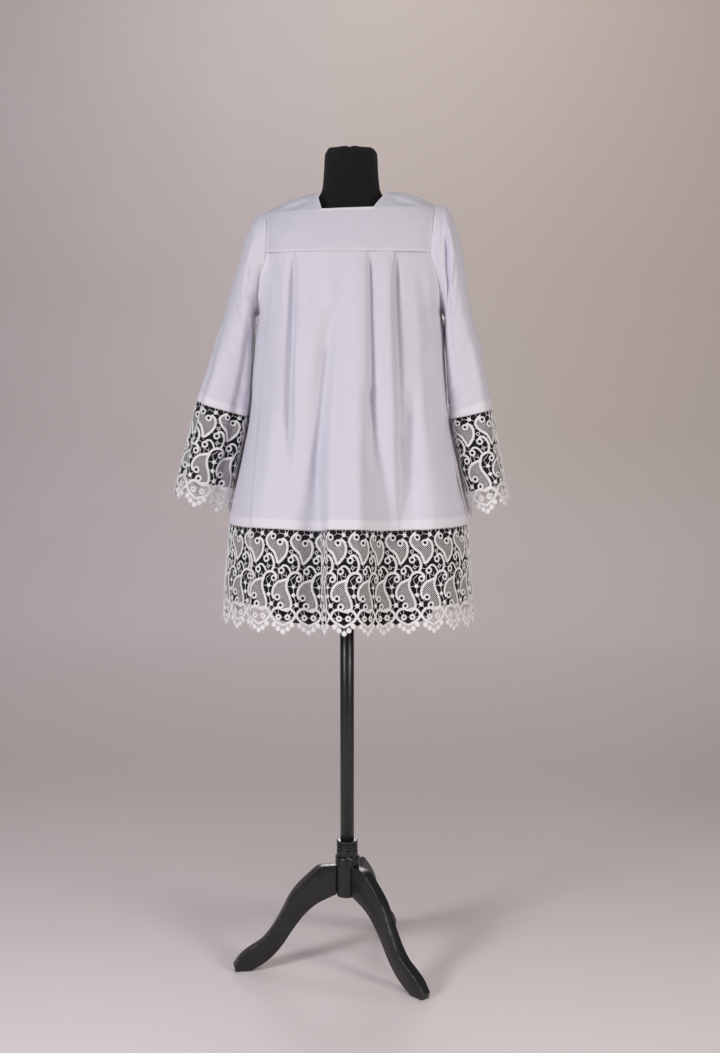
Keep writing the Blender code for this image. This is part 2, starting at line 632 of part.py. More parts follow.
def make_hem_lining(face, surface):
    """The black lining behind the hem's lace, down to the tops of its hearts."""
    rows = []
    for z in (HEM_Z - SEAM_GAP, HEM_Z - LINING_TALL):
        curve = body_curve(face, z)
        parts = np.clip(fold_parts(face, z, curve), SIDE_TRIM, 1 - SIDE_TRIM)
        rows.append(resample(curve, parts))
    grid = np.stack(rows)
    grid -= grid_normals(grid) * (LACE_THICK + HEM_LINING_GAP)
    grid[:, (0, -1), 1] = face * 2 * SEAM_GAP
    sheet_wall("hem_lining_front" if face < 0 else "hem_lining_back", grid, LINING_THICK, surface)


def cuff_sheet(side, rows=9, columns=721):
    """The sheet that carries a cuff's lace: the sleeve's sections below its seam, once round."""
    bearings = np.linspace(0, 360, columns)
    parts = np.linspace(0, 1, columns)
    downs = np.linspace(SLEEVE_ROWS[-1], CUFF_TIP, rows)
    sheet = np.stack([resample(sleeve_ring(side, down, bearings), parts) for down in downs])
    sheet[:, :, 2] -= SEAM_GAP
    return sheet


def make_cuff(side, lace, lining):
    """The lace of a cuff in a front and a back half, and the black lining behind it."""
    word = "left" if side < 0 else "right"
    sheet = cuff_sheet(side)
    whole = sum(CUFF_REPEATS.values())
    columns = sheet.shape[1] - 1
    start = 0.25 - 0.5 * CUFF_REPEATS["front"] / whole
    for half in ("front", "back"):
        wide = CUFF_REPEATS[half] / whole
        take = np.arange(int(round(start * columns)), int(round((start + wide) * columns)) + 1)
        piece = sheet[:, take % columns]
        parts = np.linspace(SIDE_TRIM, 1 - SIDE_TRIM, piece.shape[1])
        piece = np.stack([resample(row, parts) for row in piece])
        lay_lace(f"cuff_lace_{word}_{half}", CUFF_REPEATS[half], piece, lace)
        start += wide
    grid = sheet[:, :-1:columns // LINING_COLUMNS]
    behind = grid - closed_normals(grid) * (LACE_THICK + CUFF_LINING_GAP)
    tall = np.linspace(0, LINING_TALL / LACE_TALL, 3)
    u = np.linspace(0, 1, LINING_COLUMNS)
    rows = [read_grid(behind, u, np.full(LINING_COLUMNS, t)) for t in tall]
    sheet_wall(f"cuff_lining_{word}", np.stack(rows), LINING_THICK, lining, closed=True)


def make_form(surface):
    """The torso and neck, through level sections."""
    angle = np.linspace(0, 2 * math.pi, FORM_SIDES, endpoint=False)
    rings = []
    for z, wide, front, back, power in FORM:
        c, s = super_wave(angle, power)
        y = np.where(s < 0, front, back) * s
        rings.append(np.stack([FORM_X + wide * c, y, np.full(FORM_SIDES, z)], axis=1))
    return stacked("form", rings, surface)


def stacked(name, rings, surface):
    """A solid through level rings of points, from the lowest up, with flat ends."""
    count = len(rings[0])
    faces = []
    for j in range(0, (len(rings) - 1) * count, count):
        for i in range(count):
            k = (i + 1) % count
            faces.append((j + i, j + k, j + k + count, j + i + count))
    faces.append(tuple(range(count - 1, -1, -1)))
    faces.append(tuple((len(rings) - 1) * count + i for i in range(count)))
    return solid(name, np.concatenate(rings), faces, surface)


def turned(name, profile, angles, surface):
    """A turned solid on the pole's axis."""
    rings = [
        np.stack([POLE_X + radius * np.cos(angles), radius * np.sin(angles), np.full(len(angles), z)], axis=1)
        for radius, z in profile
    ]
    return stacked(name, rings, surface)


def make_stand(surface):
    """Pole, collar, hub and three legs."""
    evenly = np.linspace(0, 2 * math.pi, ROUND_SIDES, endpoint=False)
    turned("pole", ((POLE_RADIUS, POLE_FOOT_Z), (POLE_RADIUS, FORM[0][0] - SEAM_GAP)), evenly, surface)
    turned("collar", COLLAR_PROFILE, evenly, surface)
    reach = math.asin(LEG_THICK / 2 / HUB_RADIUS)
    legs = np.radians(list(LEG_ANGLES.values()))
    gaps = np.diff(legs, append=legs[0] + 2 * math.pi)
    stretches = [np.linspace(leg + reach, leg + gap - reach, HUB_SIDES) for leg, gap in zip(legs, gaps)]
    turned("hub", HUB_PROFILE, np.concatenate(stretches), surface)
    flat = HUB_RADIUS * math.cos(reach) + SEAM_GAP
    outline = [(max(r, flat), z) for r, z in LEG_TOP + LEG_UNDER[::-1]]
    for name, degrees in LEG_ANGLES.items():
        a = math.radians(degrees)
        out, across = np.array([math.cos(a), math.sin(a), 0]), np.array([-math.sin(a), math.cos(a), 0])
        points = [
            np.array([POLE_X, 0, z]) + out * r + across * half
            for half in (-LEG_THICK / 2, LEG_THICK / 2) for r, z in outline
        ]
        count = len(outline)
        faces = [tuple(range(count)), tuple(range(2 * count - 1, count - 1, -1))]
        faces += [(i, (i + 1) % count, (i + 1) % count + count, i + count) for i in range(count)]
        solid(name, points, faces, surface)


def main():
    for old in list(bpy.data.objects):
        bpy.data.objects.remove(old, do_unlink=True)
    cloth = material("white cloth", (0.80, 0.80, 0.85), 0.6)
    lace = material("white lace", (0.85, 0.85, 0.84), 0.8)
    lining = material("black lining", (0.01, 0.01, 0.01), 0.8)
    jersey = material("black jersey", (0.012, 0.012, 0.013), 0.9)
    wood = material("black paint", (0.012, 0.012, 0.012), 0.4)
    for face in (-1, 1):
        make_body(face, cloth)
        make_yoke(face, cloth)
        word = "front" if face < 0 else "back"
        lay_lace(f"hem_lace_{word}", HEM_REPEATS, hem_sheet(face), lace)
        make_hem_lining(face, lining)
    for side in (-1, 1):
        make_strap(side, cloth)
        make_sleeve(side, cloth)
        make_cuff(side, lace, lining)
    make_form(jersey)
    make_stand(wood)


main()
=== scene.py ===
"""The looks of a lace-trimmed surplice on its dress form: cloth, lace, stitches, knitted cover and paint.

Metres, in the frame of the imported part: +Z up, the front faces -Y, the viewer's left is -X. Cloth and lace
are worked out about the garment's centre line and moved by CENTRE at the end. Each surface is a function of
two parameters on a grid, whose rows go down and whose columns go right as seen from outside. A side is -1
for the viewer's left and 1 for the right, and a face is -1 for the front and 1 for the back.
"""
import math

import bpy
import numpy as np
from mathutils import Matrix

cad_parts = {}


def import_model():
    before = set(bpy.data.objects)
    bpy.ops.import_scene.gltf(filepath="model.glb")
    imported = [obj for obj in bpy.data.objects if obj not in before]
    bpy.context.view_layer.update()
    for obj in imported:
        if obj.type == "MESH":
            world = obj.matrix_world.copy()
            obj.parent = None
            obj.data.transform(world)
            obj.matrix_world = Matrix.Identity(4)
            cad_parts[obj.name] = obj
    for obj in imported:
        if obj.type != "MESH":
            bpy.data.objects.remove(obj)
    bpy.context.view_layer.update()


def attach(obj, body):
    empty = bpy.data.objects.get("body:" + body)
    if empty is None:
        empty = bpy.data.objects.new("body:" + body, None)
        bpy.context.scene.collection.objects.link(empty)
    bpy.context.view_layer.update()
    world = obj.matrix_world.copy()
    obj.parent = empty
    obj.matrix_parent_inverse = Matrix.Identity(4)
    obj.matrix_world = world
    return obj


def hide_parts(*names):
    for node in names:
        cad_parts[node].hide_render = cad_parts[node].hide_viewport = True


MM = 0.001
FULL_TURN = 2 * math.pi
CENTRE = np.array([0.022, 0.006, 0.0])
SIDES = {-1: "left", 1: "right"}
FACES = {-1: "front", 1: "back"}
TINY = 1e-9  # keeps a place on a grid short of its last row and column
SHARP_ANGLE = 50  # degrees between faces, past which their edge is shaded sharp

# ---------------------------------------------------------------- sizes of the cloth, as in the part
CLOTH_THICK = 0.0012
LINING_THICK = 0.0008
SEAM_GAP = 0.0004
LINING_BEHIND = 0.0026  # from the lace's own sheet to the outside of the lining
YOKE_SEAM_Z = 1.488
UNDERARM_Z = 1.372
HEM_Z = 0.948
MID_Z = 1.200
FOLD_START_Z = 1.15
LACE_TALL = 0.205
LINING_TALL = 0.152
EDGE_CALM = 0.014
SIDE_START, SIDE_CALM = 0.17, 0.30
LIFT = 0.17
SIDE_TRIM = 0.0005
SEAM_HELD, SEAM_FREE = 0.45, 0.026  # part of a fold's level at the yoke seam, and how far below it is whole

BODY_COLUMNS = ("z", "left", "right", "front", "back", "squareness")
BODY = (
    (0.730, 0.265, 0.257, 0.194, 0.190, 2.2),
    (0.948, 0.249, 0.241, 0.184, 0.182, 2.2),
    (1.060, 0.225, 0.2155, 0.168, 0.168, 2.3),
    (1.163, 0.204, 0.197, 0.156, 0.154, 2.35),
    (1.250, 0.197, 0.191, 0.147, 0.142, 2.4),
    (1.372, 0.186, 0.186, 0.134, 0.124, 2.5),
    (1.488, 0.162, 0.163, 0.1185, 0.106, 2.6),
)

# Folds of a panel from its left side to its right: a name, then the place, the flank's width and the level
# beyond it in millimetres, each at the yoke seam, MID_Z and the hem
FOLDS = {
    -1: (
        ("side", (-400, -400, -400), (1, 1, 1), (-7, 0, 0)),
        ("left side pleat", (-145, -172, -178), (4, 14, 26), (-4, 7, 34)),
        ("left pleat", (-102, -100, -94), (3, 12, 60), (-0.5, 12, 3)),
        ("left soft fold", (-62, -46, -37), (26, 46, 26), (0, 14, 50)),
        ("right pleat", (40, 44, 54), (3, 20, 62), (-5, -5, -8)),
        ("right ridge", (68, 74, 92), (36, 30, 26), (-1.5, 8, -5)),
        ("right outer pleat", (93, 105, 114), (3, 20, 26), (-7, -7, -7)),
        ("right panel", (130, 142, 150), (40, 44, 40), (-5, 3, 8)),
        ("right side", (150, 180, 212), (16, 20, 40), (-2, 7, 4)),
    ),
    1: (
        ("side", (-400, -400, -400), (1, 1, 1), (-7, 0, 0)),
        ("left outer pleat", (-104, -118, -150), (3, 16, 34), (-3.5, 10, 28)),
        ("left inner pleat", (-60, -70, -92), (3, 16, 36), (0, 1, -6)),
        ("left middle fold", (-26, -30, -40), (20, 24, 34), (0, 12, 44)),
        ("right middle fold", (24, 28, 36), (20, 24, 36), (0, 3, -6)),
        ("right inner pleat", (60, 68, 86), (3, 16, 34), (-3.5, 12, 38)),
        ("right outer pleat", (104, 122, 146), (3, 16, 40), (-7, 0, 0)),
    ),
}

ARMHOLE_DEEP = 0.074
ARMHOLE_POWER = 2.3
ARMHOLE_X = {
    -1: ((1.372, 0.186), (1.440, 0.176), (1.488, 0.162), (1.540, 0.162), (1.576, 0.164)),
    1: ((1.372, 0.186), (1.440, 0.177), (1.488, 0.163), (1.540, 0.167), (1.588, 0.169)),
}
SHOULDER_TOP_Z = {-1: 1.576, 1: 1.588}
STRAP_ANGLE = 33  # down the armhole's loop from its top, where a strap meets a yoke
NECK_SIDE = {-1: (0.067, 1.613), 1: (0.080, 1.615)}  # x and z of the neck's edge at a strap's middle
SEAM_LEAN = {-1: (0.0, -0.72, 0.69), 1: (0.0, 0.72, 0.69)}  # the normal where a strap meets a yoke
YOKE_PLAN = {-1: (0.1185, 0.085, 0.051), 1: (0.106, 0.082, 0.060)}  # depth low, depth high, neck's corner x
YOKE_RISE = 0.006
STRAP_BEND = 2.2

SLEEVE_COLUMNS = ("down", "outer_x", "outer_z", "inner_x", "inner_z", "deep", "back", "power")
SLEEVES = {
    -1: (
        (0.00, 0.164, 1.576, 0.186, 1.372, 0.074, 0.000, 2.3),
        (0.07, 0.184, 1.568, 0.192, 1.366, 0.078, 0.000, 2.3),
        (0.15, 0.203, 1.542, 0.194, 1.350, 0.081, 0.004, 2.2),
        (0.28, 0.222, 1.486, 0.195, 1.322, 0.083, 0.012, 2.4),
        (0.50, 0.253, 1.390, 0.1975, 1.268, 0.083, 0.024, 2.5),
        (0.72, 0.286, 1.290, 0.2025, 1.213, 0.084, 0.032, 2.5),
        (1.00, 0.318, 1.196, 0.208, 1.164, 0.085, 0.036, 2.5),
        (1.60, 0.371, 0.997, 0.252, 0.962, 0.087, 0.036, 2.5),
    ),
    1: (
        (0.00, 0.169, 1.588, 0.186, 1.372, 0.074, 0.000, 2.3),
        (0.07, 0.193, 1.582, 0.190, 1.366, 0.078, 0.000, 2.3),
        (0.15, 0.209, 1.556, 0.191, 1.350, 0.083, 0.004, 2.2),
        (0.28, 0.226, 1.500, 0.192, 1.322, 0.087, 0.012, 2.4),
        (0.50, 0.243, 1.396, 0.194, 1.268, 0.090, 0.026, 2.5),
        (0.72, 0.268, 1.300, 0.198, 1.213, 0.092, 0.034, 2.5),
        (1.00, 0.291, 1.180, 0.203, 1.160, 0.094, 0.040, 2.5),
        (1.60, 0.328, 0.986, 0.243, 0.957, 0.098, 0.040, 2.5),
    ),
}
CUFF_TIP = 1.6
ARMHOLE_FADE = 0.16
SLEEVE_ROWS = 1.4  # power that sets a sleeve's rows closer together near the armhole
FOLD_FADE = 0.2
SLEEVE_FOLD_DOWNS = (0, 0.5, 1, CUFF_TIP)
# Folds of a sleeve: name, bearing and half width in degrees, then levels in millimetres at SLEEVE_FOLD_DOWNS
SLEEVE_FOLDS = {
    -1: (
        ("outer fold", 38, 22, 0, -3, -9, -9),
        ("front ridge", 100, 26, 4, 3, 1, 1),
        ("inner trough", 121, 18, -1, -2, -7, -6),
        ("inner corner", 143, 26, 0, 8, 6, 0),
        ("back trough", 250, 26, -3, -5, -7, -7),
    ),
    1: (
        ("inner corner", 44, 28, 0, 8, 7, 0),
        ("front trough", 70, 22, -3, -2, -2, -3),
        ("outer ridge", 118, 30, 3, 2, 3, 3),
        ("back trough", 245, 26, -3, -5, -7, -7),
        ("outer back trough", 300, 22, 0, -3, -6, -6),
    ),
}

# Creases of a panel in millimetres: from x, z to x, z, the bow between, half width, and level (- is a trough)
CREASES = {
    -1: (
        (-143, 1484, -147, 1400, 0, 6, -2.2), (-118, 1486, -122, 1350, 3, 9, 1.6),
        (-107, 1496, -112, 925, 0, 8, -10.5), (-74, 1500, -80, 1290, 2, 12, 3.0),
        (-93, 1330, -92, 1010, 0, 9, 3.0), (-52, 1486, -54, 1330, -3, 9, -1.8),
        (-26, 1400, -60, 925, 6, 15, -12.5), (-38, 1330, -61, 900, 4, 13, -9.0),
        (-10, 1500, -4, 1280, 2, 14, -3.6), (2, 1350, 2, 1080, 2, 11, -3.0),
        (26, 1500, 26, 1160, 2, 10, 3.4), (20, 1260, 15, 925, -2, 13, 4.5),
        (44, 1500, 50, 1080, -3, 7, -9.5), (47, 1240, 50, 925, 0, 12, -12.0),
        (82, 1490, 86, 1120, 2, 10, 2.4), (98, 1498, 116, 960, 4, 9, -12.0),
        (116, 1190, 132, 925, 2, 14, -11.0), (130, 1230, 142, 900, 0, 10, -8.0),
        (128, 1450, 140, 1260, -3, 12, 2.4), (156, 1330, 170, 1040, 4, 9, -2.2),
        (146, 1250, 152, 960, 2, 14, 2.6), (-160, 1330, -176, 1090, -4, 11, -1.8),
        (-136, 1200, -146, 930, 3, 13, 2.6), (-176, 1385, -120, 1330, 6, 10, -1.6),
        (178, 1390, 126, 1335, -6, 10, -1.6), (-182, 1360, -146, 1290, 4, 9, -1.3),
        (182, 1362, 152, 1280, -4, 9, -1.2), (-104, 1100, -112, 940, 2, 10, -1.8),
        (108, 1140, 114, 880, -2, 10, -6.5), (-60, 1440, 20, 1428, 3, 22, 0.7),
        (60, 1190, 130, 1176, 4, 24, 0.7), (187, 1368, 193, 1140, -3, 5, 5.5),
        (194, 1190, 214, 980, -3, 6, 5.5),
    ),
    1: (
        (-122, 1484, -130, 1340, 2, 8, -2.0), (-84, 1482, -92, 1250, -3, 9, 1.6),
        (-46, 1484, -52, 1290, 3, 8, -1.7), (0, 1484, 3, 1230, -4, 12, -1.6),
        (44, 1482, 48, 1260, 3, 8, 1.5), (84, 1484, 94, 1290, -2, 8, -1.9),
        (124, 1482, 138, 1330, 3, 9, 1.4), (-16, 1230, -24, 990, 4, 12, 2.0),
        (58, 1180, 66, 980, -3, 11, -2.0), (-124, 1160, -138, 990, 3, 11, -1.8),
        (140, 1190, 156, 1000, -4, 12, 1.5), (-176, 1390, -112, 1340, 6, 11, -1.5),
        (176, 1388, 118, 1336, -6, 10, -1.4), (-70, 1140, -76, 970, -2, 9, 1.6),
        (-160, 1300, -172, 1070, 4, 10, -1.4), (160, 1310, 176, 1080, -3, 10, -1.6),
    ),
}
# Creases of a sleeve: bearing and part of the way down, twice, then the bow and half width in degrees, and
# the level in millimetres
SLEEVE_CREASES = {
    -1: (
        (124, 0.02, 72, 0.16, 0, 20, 5.0), (62, 0.03, 84, 0.36, 4, 9, 2.6),
        (84, 0.02, 112, 0.42, -4, 9, -3.0), (112, 0.04, 138, 0.30, 3, 8, 1.8),
        (96, 0.50, 92, 1.30, 2, 12, -3.4), (66, 0.62, 60, 1.50, -3, 12, 2.2),
        (122, 0.70, 132, 1.45, 3, 10, 2.0), (40, 0.16, 58, 0.62, 4, 10, -1.6),
        (150, 0.12, 128, 0.52, -3, 10, -2.0), (205, 0.05, 232, 0.44, 4, 10, -2.4),
        (238, 0.04, 262, 0.40, -3, 9, 2.0), (280, 0.06, 300, 0.50, 3, 10, -1.8),
        (218, 0.56, 210, 1.40, 3, 12, 2.0), (272, 0.60, 282, 1.45, -4, 13, -2.6),
        (322, 0.40, 318, 1.20, 2, 12, 1.6),
    ),
    1: (
        (116, 0.075, 56, 0.19, 0, 10, -6.5), (128, 0.04, 84, 0.14, 0, 16, -6.0),
        (136, 0.10, 92, 0.24, 0, 16, 4.0), (120, 0.03, 100, 0.36, 4, 9, 2.4),
        (92, 0.02, 66, 0.40, -4, 9, -3.0), (142, 0.05, 118, 0.44, 3, 9, -1.8),
        (100, 0.46, 92, 1.30, 3, 12, -2.6), (126, 0.56, 132, 1.50, -3, 12, 2.0),
        (66, 0.66, 70, 1.45, 3, 10, 2.0), (44, 0.14, 60, 0.56, 4, 10, -2.2),
        (156, 0.20, 140, 0.70, -3, 11, 1.4), (212, 0.05, 236, 0.40, 4, 10, 2.0),
        (256, 0.04, 276, 0.44, -3, 10, -2.2), (310, 0.06, 292, 0.44, 3, 10, 1.8),
        (226, 0.56, 218, 1.40, 3, 12, -2.2), (284, 0.60, 292, 1.45, -4, 12, 2.0),
        (330, 0.44, 326, 1.20, 2, 12, -1.6),
    ),
}
# Creases of a strap: parts across and along, twice, then the bow and half width as parts, and the level in mm
STRAP_CREASES = (
    (0.05, 0.26, 0.85, 0.14, 0, 0.08, 3.4), (0.06, 0.36, 0.95, 0.24, 0, 0.07, -4.4),
    (0.02, 0.46, 0.90, 0.38, 0, 0.08, 3.0), (0.10, 0.18, 0.75, 0.04, 0, 0.06, -3.6),
    (0.04, 0.60, 0.85, 0.70, 0, 0.09, -3.0), (0.08, 0.76, 0.70, 0.95, 0, 0.07, 2.4),
)
# Parts of a crease's length over which it begins and ends
CREASE_FADE = (0.12, 0.45)
SLEEVE_CREASE_FADE = (0.25, 0.35)
STRAP_CREASE_FADE = (0.3, 0.5)
# Slow waves in the cloth: height in millimetres, then waves to a metre across and down, and phase
RIPPLES = (
    (0.50, 5.3, 2.1, 0.4), (0.36, 8.9, -3.4, 1.9), (0.28, 13.7, 4.9, 4.1), (0.22, 3.1, 9.2, 2.6),
    (0.16, 21.0, -6.7, 0.9), (0.12, 17.3, 12.8, 5.2),
)
RIPPLE_CALM = 0.05
SLEEVE_WAVES = (2, 3, 5, 4, 7, 6)  # waves round a sleeve, one for each row of RIPPLES
SLEEVE_WAVE_TURN = 9  # how far they turn on the way down, for each wave to a metre
YOKE_WAVES, YOKE_WAVE_SCALE = 0.6, 2  # height and number of a yoke's waves beside a panel's

# ---------------------------------------------------------------- grids, seams and stitches
PLAN_POINTS = 1201
BODY_GRID = (34, 104, 264)  # rows beside the armhole, rows below it, columns
YOKE_GRID = (30, 30, 60)  # rows, columns at each side of the neck, columns along it
STRAP_GRID = (56, 30)
SLEEVE_GRID = (116, 112)
HEM_GRID, HEM_LINING_GRID = (27, 1101), (12, 301)
CUFF_GRID = (21, 721)
CUFF_LINING_STEP = 3  # the cuff's lining takes one column of its sheet in so many
YOKE_ANGLES = (33, 48, 62, 76, 90)  # down the armhole's loop, at equal steps from the shoulder seam down
STRAP_ANGLES = (0, 12, 23, STRAP_ANGLE)
CHEST_X, CHEST_Z, CHEST_FADE = -0.06, 1.16, 0.20  # where the panel's darkening begins, up the chest and towards the viewer's right, and how gradually: partly the black form showing through, partly painted shade
HEM_BAND = 0.019  # how deep the doubled cloth above the hem's lace is
CUFF_BAND = 0.055  # and above a cuff's, as a part of the sleeve's length
ARMHOLE_BAND = 0.016  # and below the armhole's seam
SEAM_BAND = 0.007
NECK_BAND = 0.006
SEAM_MARK = 0.4  # how double a seam's allowance looks, where a hem is 1
BAND_RISE = 0.0006
BAND_SOFT, SLEEVE_BAND_SOFT = 0.0012, 0.004
ARMHOLE_GAP_FADE = 0.1  # part of a sleeve's length over which it comes back from its gap at the armhole
YOKE_CALM = 0.01
STRAP_CALM = (0.12, 0.10)  # parts of a strap's width and length over which its creases begin
STRAP_BANDS = (0.05, 0.93, 0.03)  # where the neck's band ends and the armhole's starts, and how softly
STITCH_IN = 0.002
STITCH = {"pitch": 2.9, "long": 2.3, "wide": 0.5, "tall": 0.36}  # millimetres
STITCH_TAPER = 0.45  # part of a stitch's width at its ends
STITCH_SIDES = 4

# ---------------------------------------------------------------- the lace's repeat, charted
# Millimetres: x from the heart's axis to the right, y down from the lace's top edge
CHART_WIDE, CHART_TALL = 54.0, 208.6
CHART_LEFT = -22.2
CORD, FINE_CORD, BAR, THREAD = 5.3, 4.0, 1.25, 0.80
CORD_TALL, THREAD_TALL = 2.2, 0.6
CORD_TIP = 0.6  # part of its width at a cord's ends
RING_TALL = 0.95  # part of a cord's height
CORD_STEP, BAR_STEP, HEADING_STEP, THREAD_STEP = 3.4, 9.0, 4.0, 11.0
CORD_SIDES, BAR_SIDES, THREAD_SIDES, BALL_SIDES = 6, 4, 3, 9
LARGE_RING, LARGE_RING_POINTS, SMALL_RING_POINTS = 5, 14, 10
NET_PITCH = 3.2
NET_ANGLES = (38.0, -47.0)
NET_SIDE_POINTS, NET_RING_POINTS = 24, 12
LACE_BACK = 0.35  # how far the middle of the cords lies behind the lace's own sheet
HEADING = {"y": 0.5, "wide": 1.2, "past": 0.3}  # the thread along the top edge, a little past the repeat
HEM_REPEATS = 16
CUFF_REPEATS = {"front": 5, "back": 4}

UPPER_LEAF_LEFT = (
    (-29.2, 5.2), (-41.2, 17.0), (-41.6, 27.0), (-34.5, 37.5), (-24.0, 45.7), (-18.0, 57.7), (-14.7, 68.2),
)
UPPER_LEAF_RIGHT = ((-14.7, 68.2), (-7.5, 62.0), (1.5, 50.0), (4.5, 36.7), (1.5, 24.7), (-7.5, 18.0))
LOWER_LEAF_LEFT = (
    (9.0, 97.5), (-1.5, 101.0), (-13.5, 105.7), (-21.7, 116.0), (-24.0, 128.0), (-20.0, 138.7),
)
LOWER_LEAF_RIGHT = (
    (9.0, 97.5), (5.2, 105.7), (6.0, 117.7), (12.0, 131.0), (16.5, 144.7), (15.7, 155.0), (7.5, 161.0),
    (0.0, 158.0),
)
# Name, width and points
CORDS = (
    ("upper leaf, left", CORD, UPPER_LEAF_LEFT),
    ("upper leaf, right", CORD, UPPER_LEAF_RIGHT),
    ("lower leaf, left", CORD, LOWER_LEAF_LEFT),
    ("lower leaf, right", CORD, LOWER_LEAF_RIGHT),
    ("first scroll", CORD, (
        (12.0, 53.5), (19.0, 50.2), (26.0, 55.0), (30.0, 63.7), (31.0, 73.0), (28.0, 80.5), (25.5, 84.5),
    )),
    ("second scroll", FINE_CORD, ((-8.0, 76.0), (-1.5, 71.2), (5.0, 72.8), (9.5, 77.5), (14.2, 86.2))),
    ("third scroll", CORD, (
        (7.5, 99.7), (9.0, 94.0), (12.5, 89.0), (21.0, 84.7), (30.0, 85.5), (36.7, 92.2), (36.0, 100.5),
    )),
    ("heart, left", CORD, (
        (0.0, 161.0), (-5.0, 157.2), (-12.0, 156.2), (-20.5, 160.5), (-25.5, 171.0), (-18.0, 180.7),
        (-8.0, 186.5), (0.0, 191.0),
    )),
    ("heart, right", CORD, (
        (0.0, 161.0), (6.0, 158.0), (13.5, 157.2), (21.5, 161.5), (25.5, 171.0), (18.0, 180.7),
        (8.0, 186.5), (0.0, 191.0),
    )),
)
# Centre x and y, outer radius and the hole's
RINGS = (
    (-27.0, 15.0, 6.7, 3.2), (-11.7, 26.0, 7.2, 3.2), (12.75, 60.0, 7.2, 3.3), (-6.75, 81.7, 7.2, 3.2),
    (31.5, 97.5, 6.75, 3.1), (-12.7, 134.7, 7.2, 3.2), (-5.2, 150.7, 7.2, 3.0), (12.9, 43.9, 4.0, 2.1),
    (18.0, 74.5, 3.7, 1.9), (-9.2, 174.0, 6.3, 1.9), (9.2, 174.0, 6.3, 1.9),
)
# Centre x and y, radius
BALLS = (
    (0.3, 10.5, 4.5), (20.5, 112.5, 4.4), (21.4, 130.0, 4.4), (28.5, 148.5, 4.8), (-18.8, 189.9, 5.6),
    (-9.9, 197.2, 5.5), (0.0, 203.0, 5.6), (9.6, 197.0, 5.5), (18.4, 188.8, 5.6),
)
BALL_RINGS = ((0.42, 1.45), (0.80, 1.0), (1.0, 0.1), (0.86, -0.75), (0.45, -1.0))  # part of radius, height
# Each bar from x, y to x, y
BARS = (
    (0.3, 10.5, -3.1, 0.8), (0.3, 10.5, 5.6, 0.8), (0.3, 10.5, 9.0, 15.4), (0.3, 10.5, -5.0, 18.4),
    (-13.6, 8.0, -15.9, 0.8), (-13.6, 8.0, -19.5, 12.0), (-13.6, 8.0, 0.3, 10.5), (15.3, 0.8, 16.3, 7.0),
    (25.7, 0.8, 25.6, 5.2), (3.4, 24.4, 10.5, 24.4), (4.6, 32.0, 12.0, 32.4), (9.2, 43.9, 3.6, 43.9),
    (15.4, 41.0, 18.0, 38.0), (13.0, 47.4, 13.2, 52.0), (27.0, 43.4, 24.5, 51.0), (34.6, 51.0, 29.6, 55.5),
    (30.0, 66.0, 39.0, 66.5), (1.8, 52.5, 6.5, 57.2), (-14.7, 68.2, -11.0, 73.5), (17.9, 71.3, 15.2, 66.8),
    (21.2, 74.0, 30.8, 72.0), (14.9, 75.3, 8.5, 77.0), (17.7, 77.6, 18.6, 85.5), (20.0, 61.0, 27.5, 58.0),
    (30.0, 76.0, 40.5, 78.0), (-6.7, 88.5, -3.0, 101.0), (-12.5, 86.0, -13.0, 105.5),
    (-6.7, 88.5, 8.5, 95.0), (3.0, 86.0, 6.0, 97.0), (24.0, 90.0, 13.0, 100.0), (31.5, 104.5, 31.5, 112.0),
    (36.0, 100.5, 38.0, 107.0), (20.5, 112.5, 7.0, 113.5), (20.5, 112.5, 32.0, 114.0),
    (20.5, 112.5, 14.0, 100.0), (20.5, 112.5, 26.0, 102.5), (20.5, 112.5, 21.4, 130.0),
    (21.4, 130.0, 12.0, 129.5), (21.4, 130.0, 30.2, 130.0), (21.4, 130.0, 28.5, 148.5),
    (28.5, 148.5, 16.0, 149.0), (28.5, 148.5, 20.0, 158.5), (28.5, 148.5, 37.0, 158.5),
    (28.5, 148.5, 36.2, 140.5), (-9.2, 168.0, -10.0, 158.5), (9.2, 168.0, 11.0, 159.5),
    (-15.3, 174.0, -23.5, 172.0), (15.3, 174.0, 23.5, 172.0), (-13.5, 169.5, -18.5, 161.0),
    (13.5, 169.5, 19.0, 161.8), (-13.5, 178.5, -17.5, 181.0), (13.5, 178.5, 17.5, 181.0),
    (-3.0, 174.0, 3.0, 174.0), (24.5, 168.8, 29.5, 168.8), (24.0, 173.2, 30.0, 173.2),
    (0.0, 191.0, 0.0, 203.0), (-8.0, 187.0, -9.7, 197.0), (8.0, 187.0, 9.3, 196.8),
    (-16.0, 183.0, -18.5, 189.7), (16.0, 183.0, 18.0, 188.5),
)
# Each net lies between the two sides of a leaf and round two of its rings: x, y, radius, and from and to in
# degrees
NETS = (
    (UPPER_LEAF_LEFT, UPPER_LEAF_RIGHT, ((-11.7, 26.0, 5.2, -40, 200), (-27.0, 15.0, 4.9, 20, 250))),
    (LOWER_LEAF_LEFT[::-1], LOWER_LEAF_RIGHT, ((-5.2, 150.7, 5.1, 90, -110), (-12.7, 134.7, 5.2, 35, -190))),
)

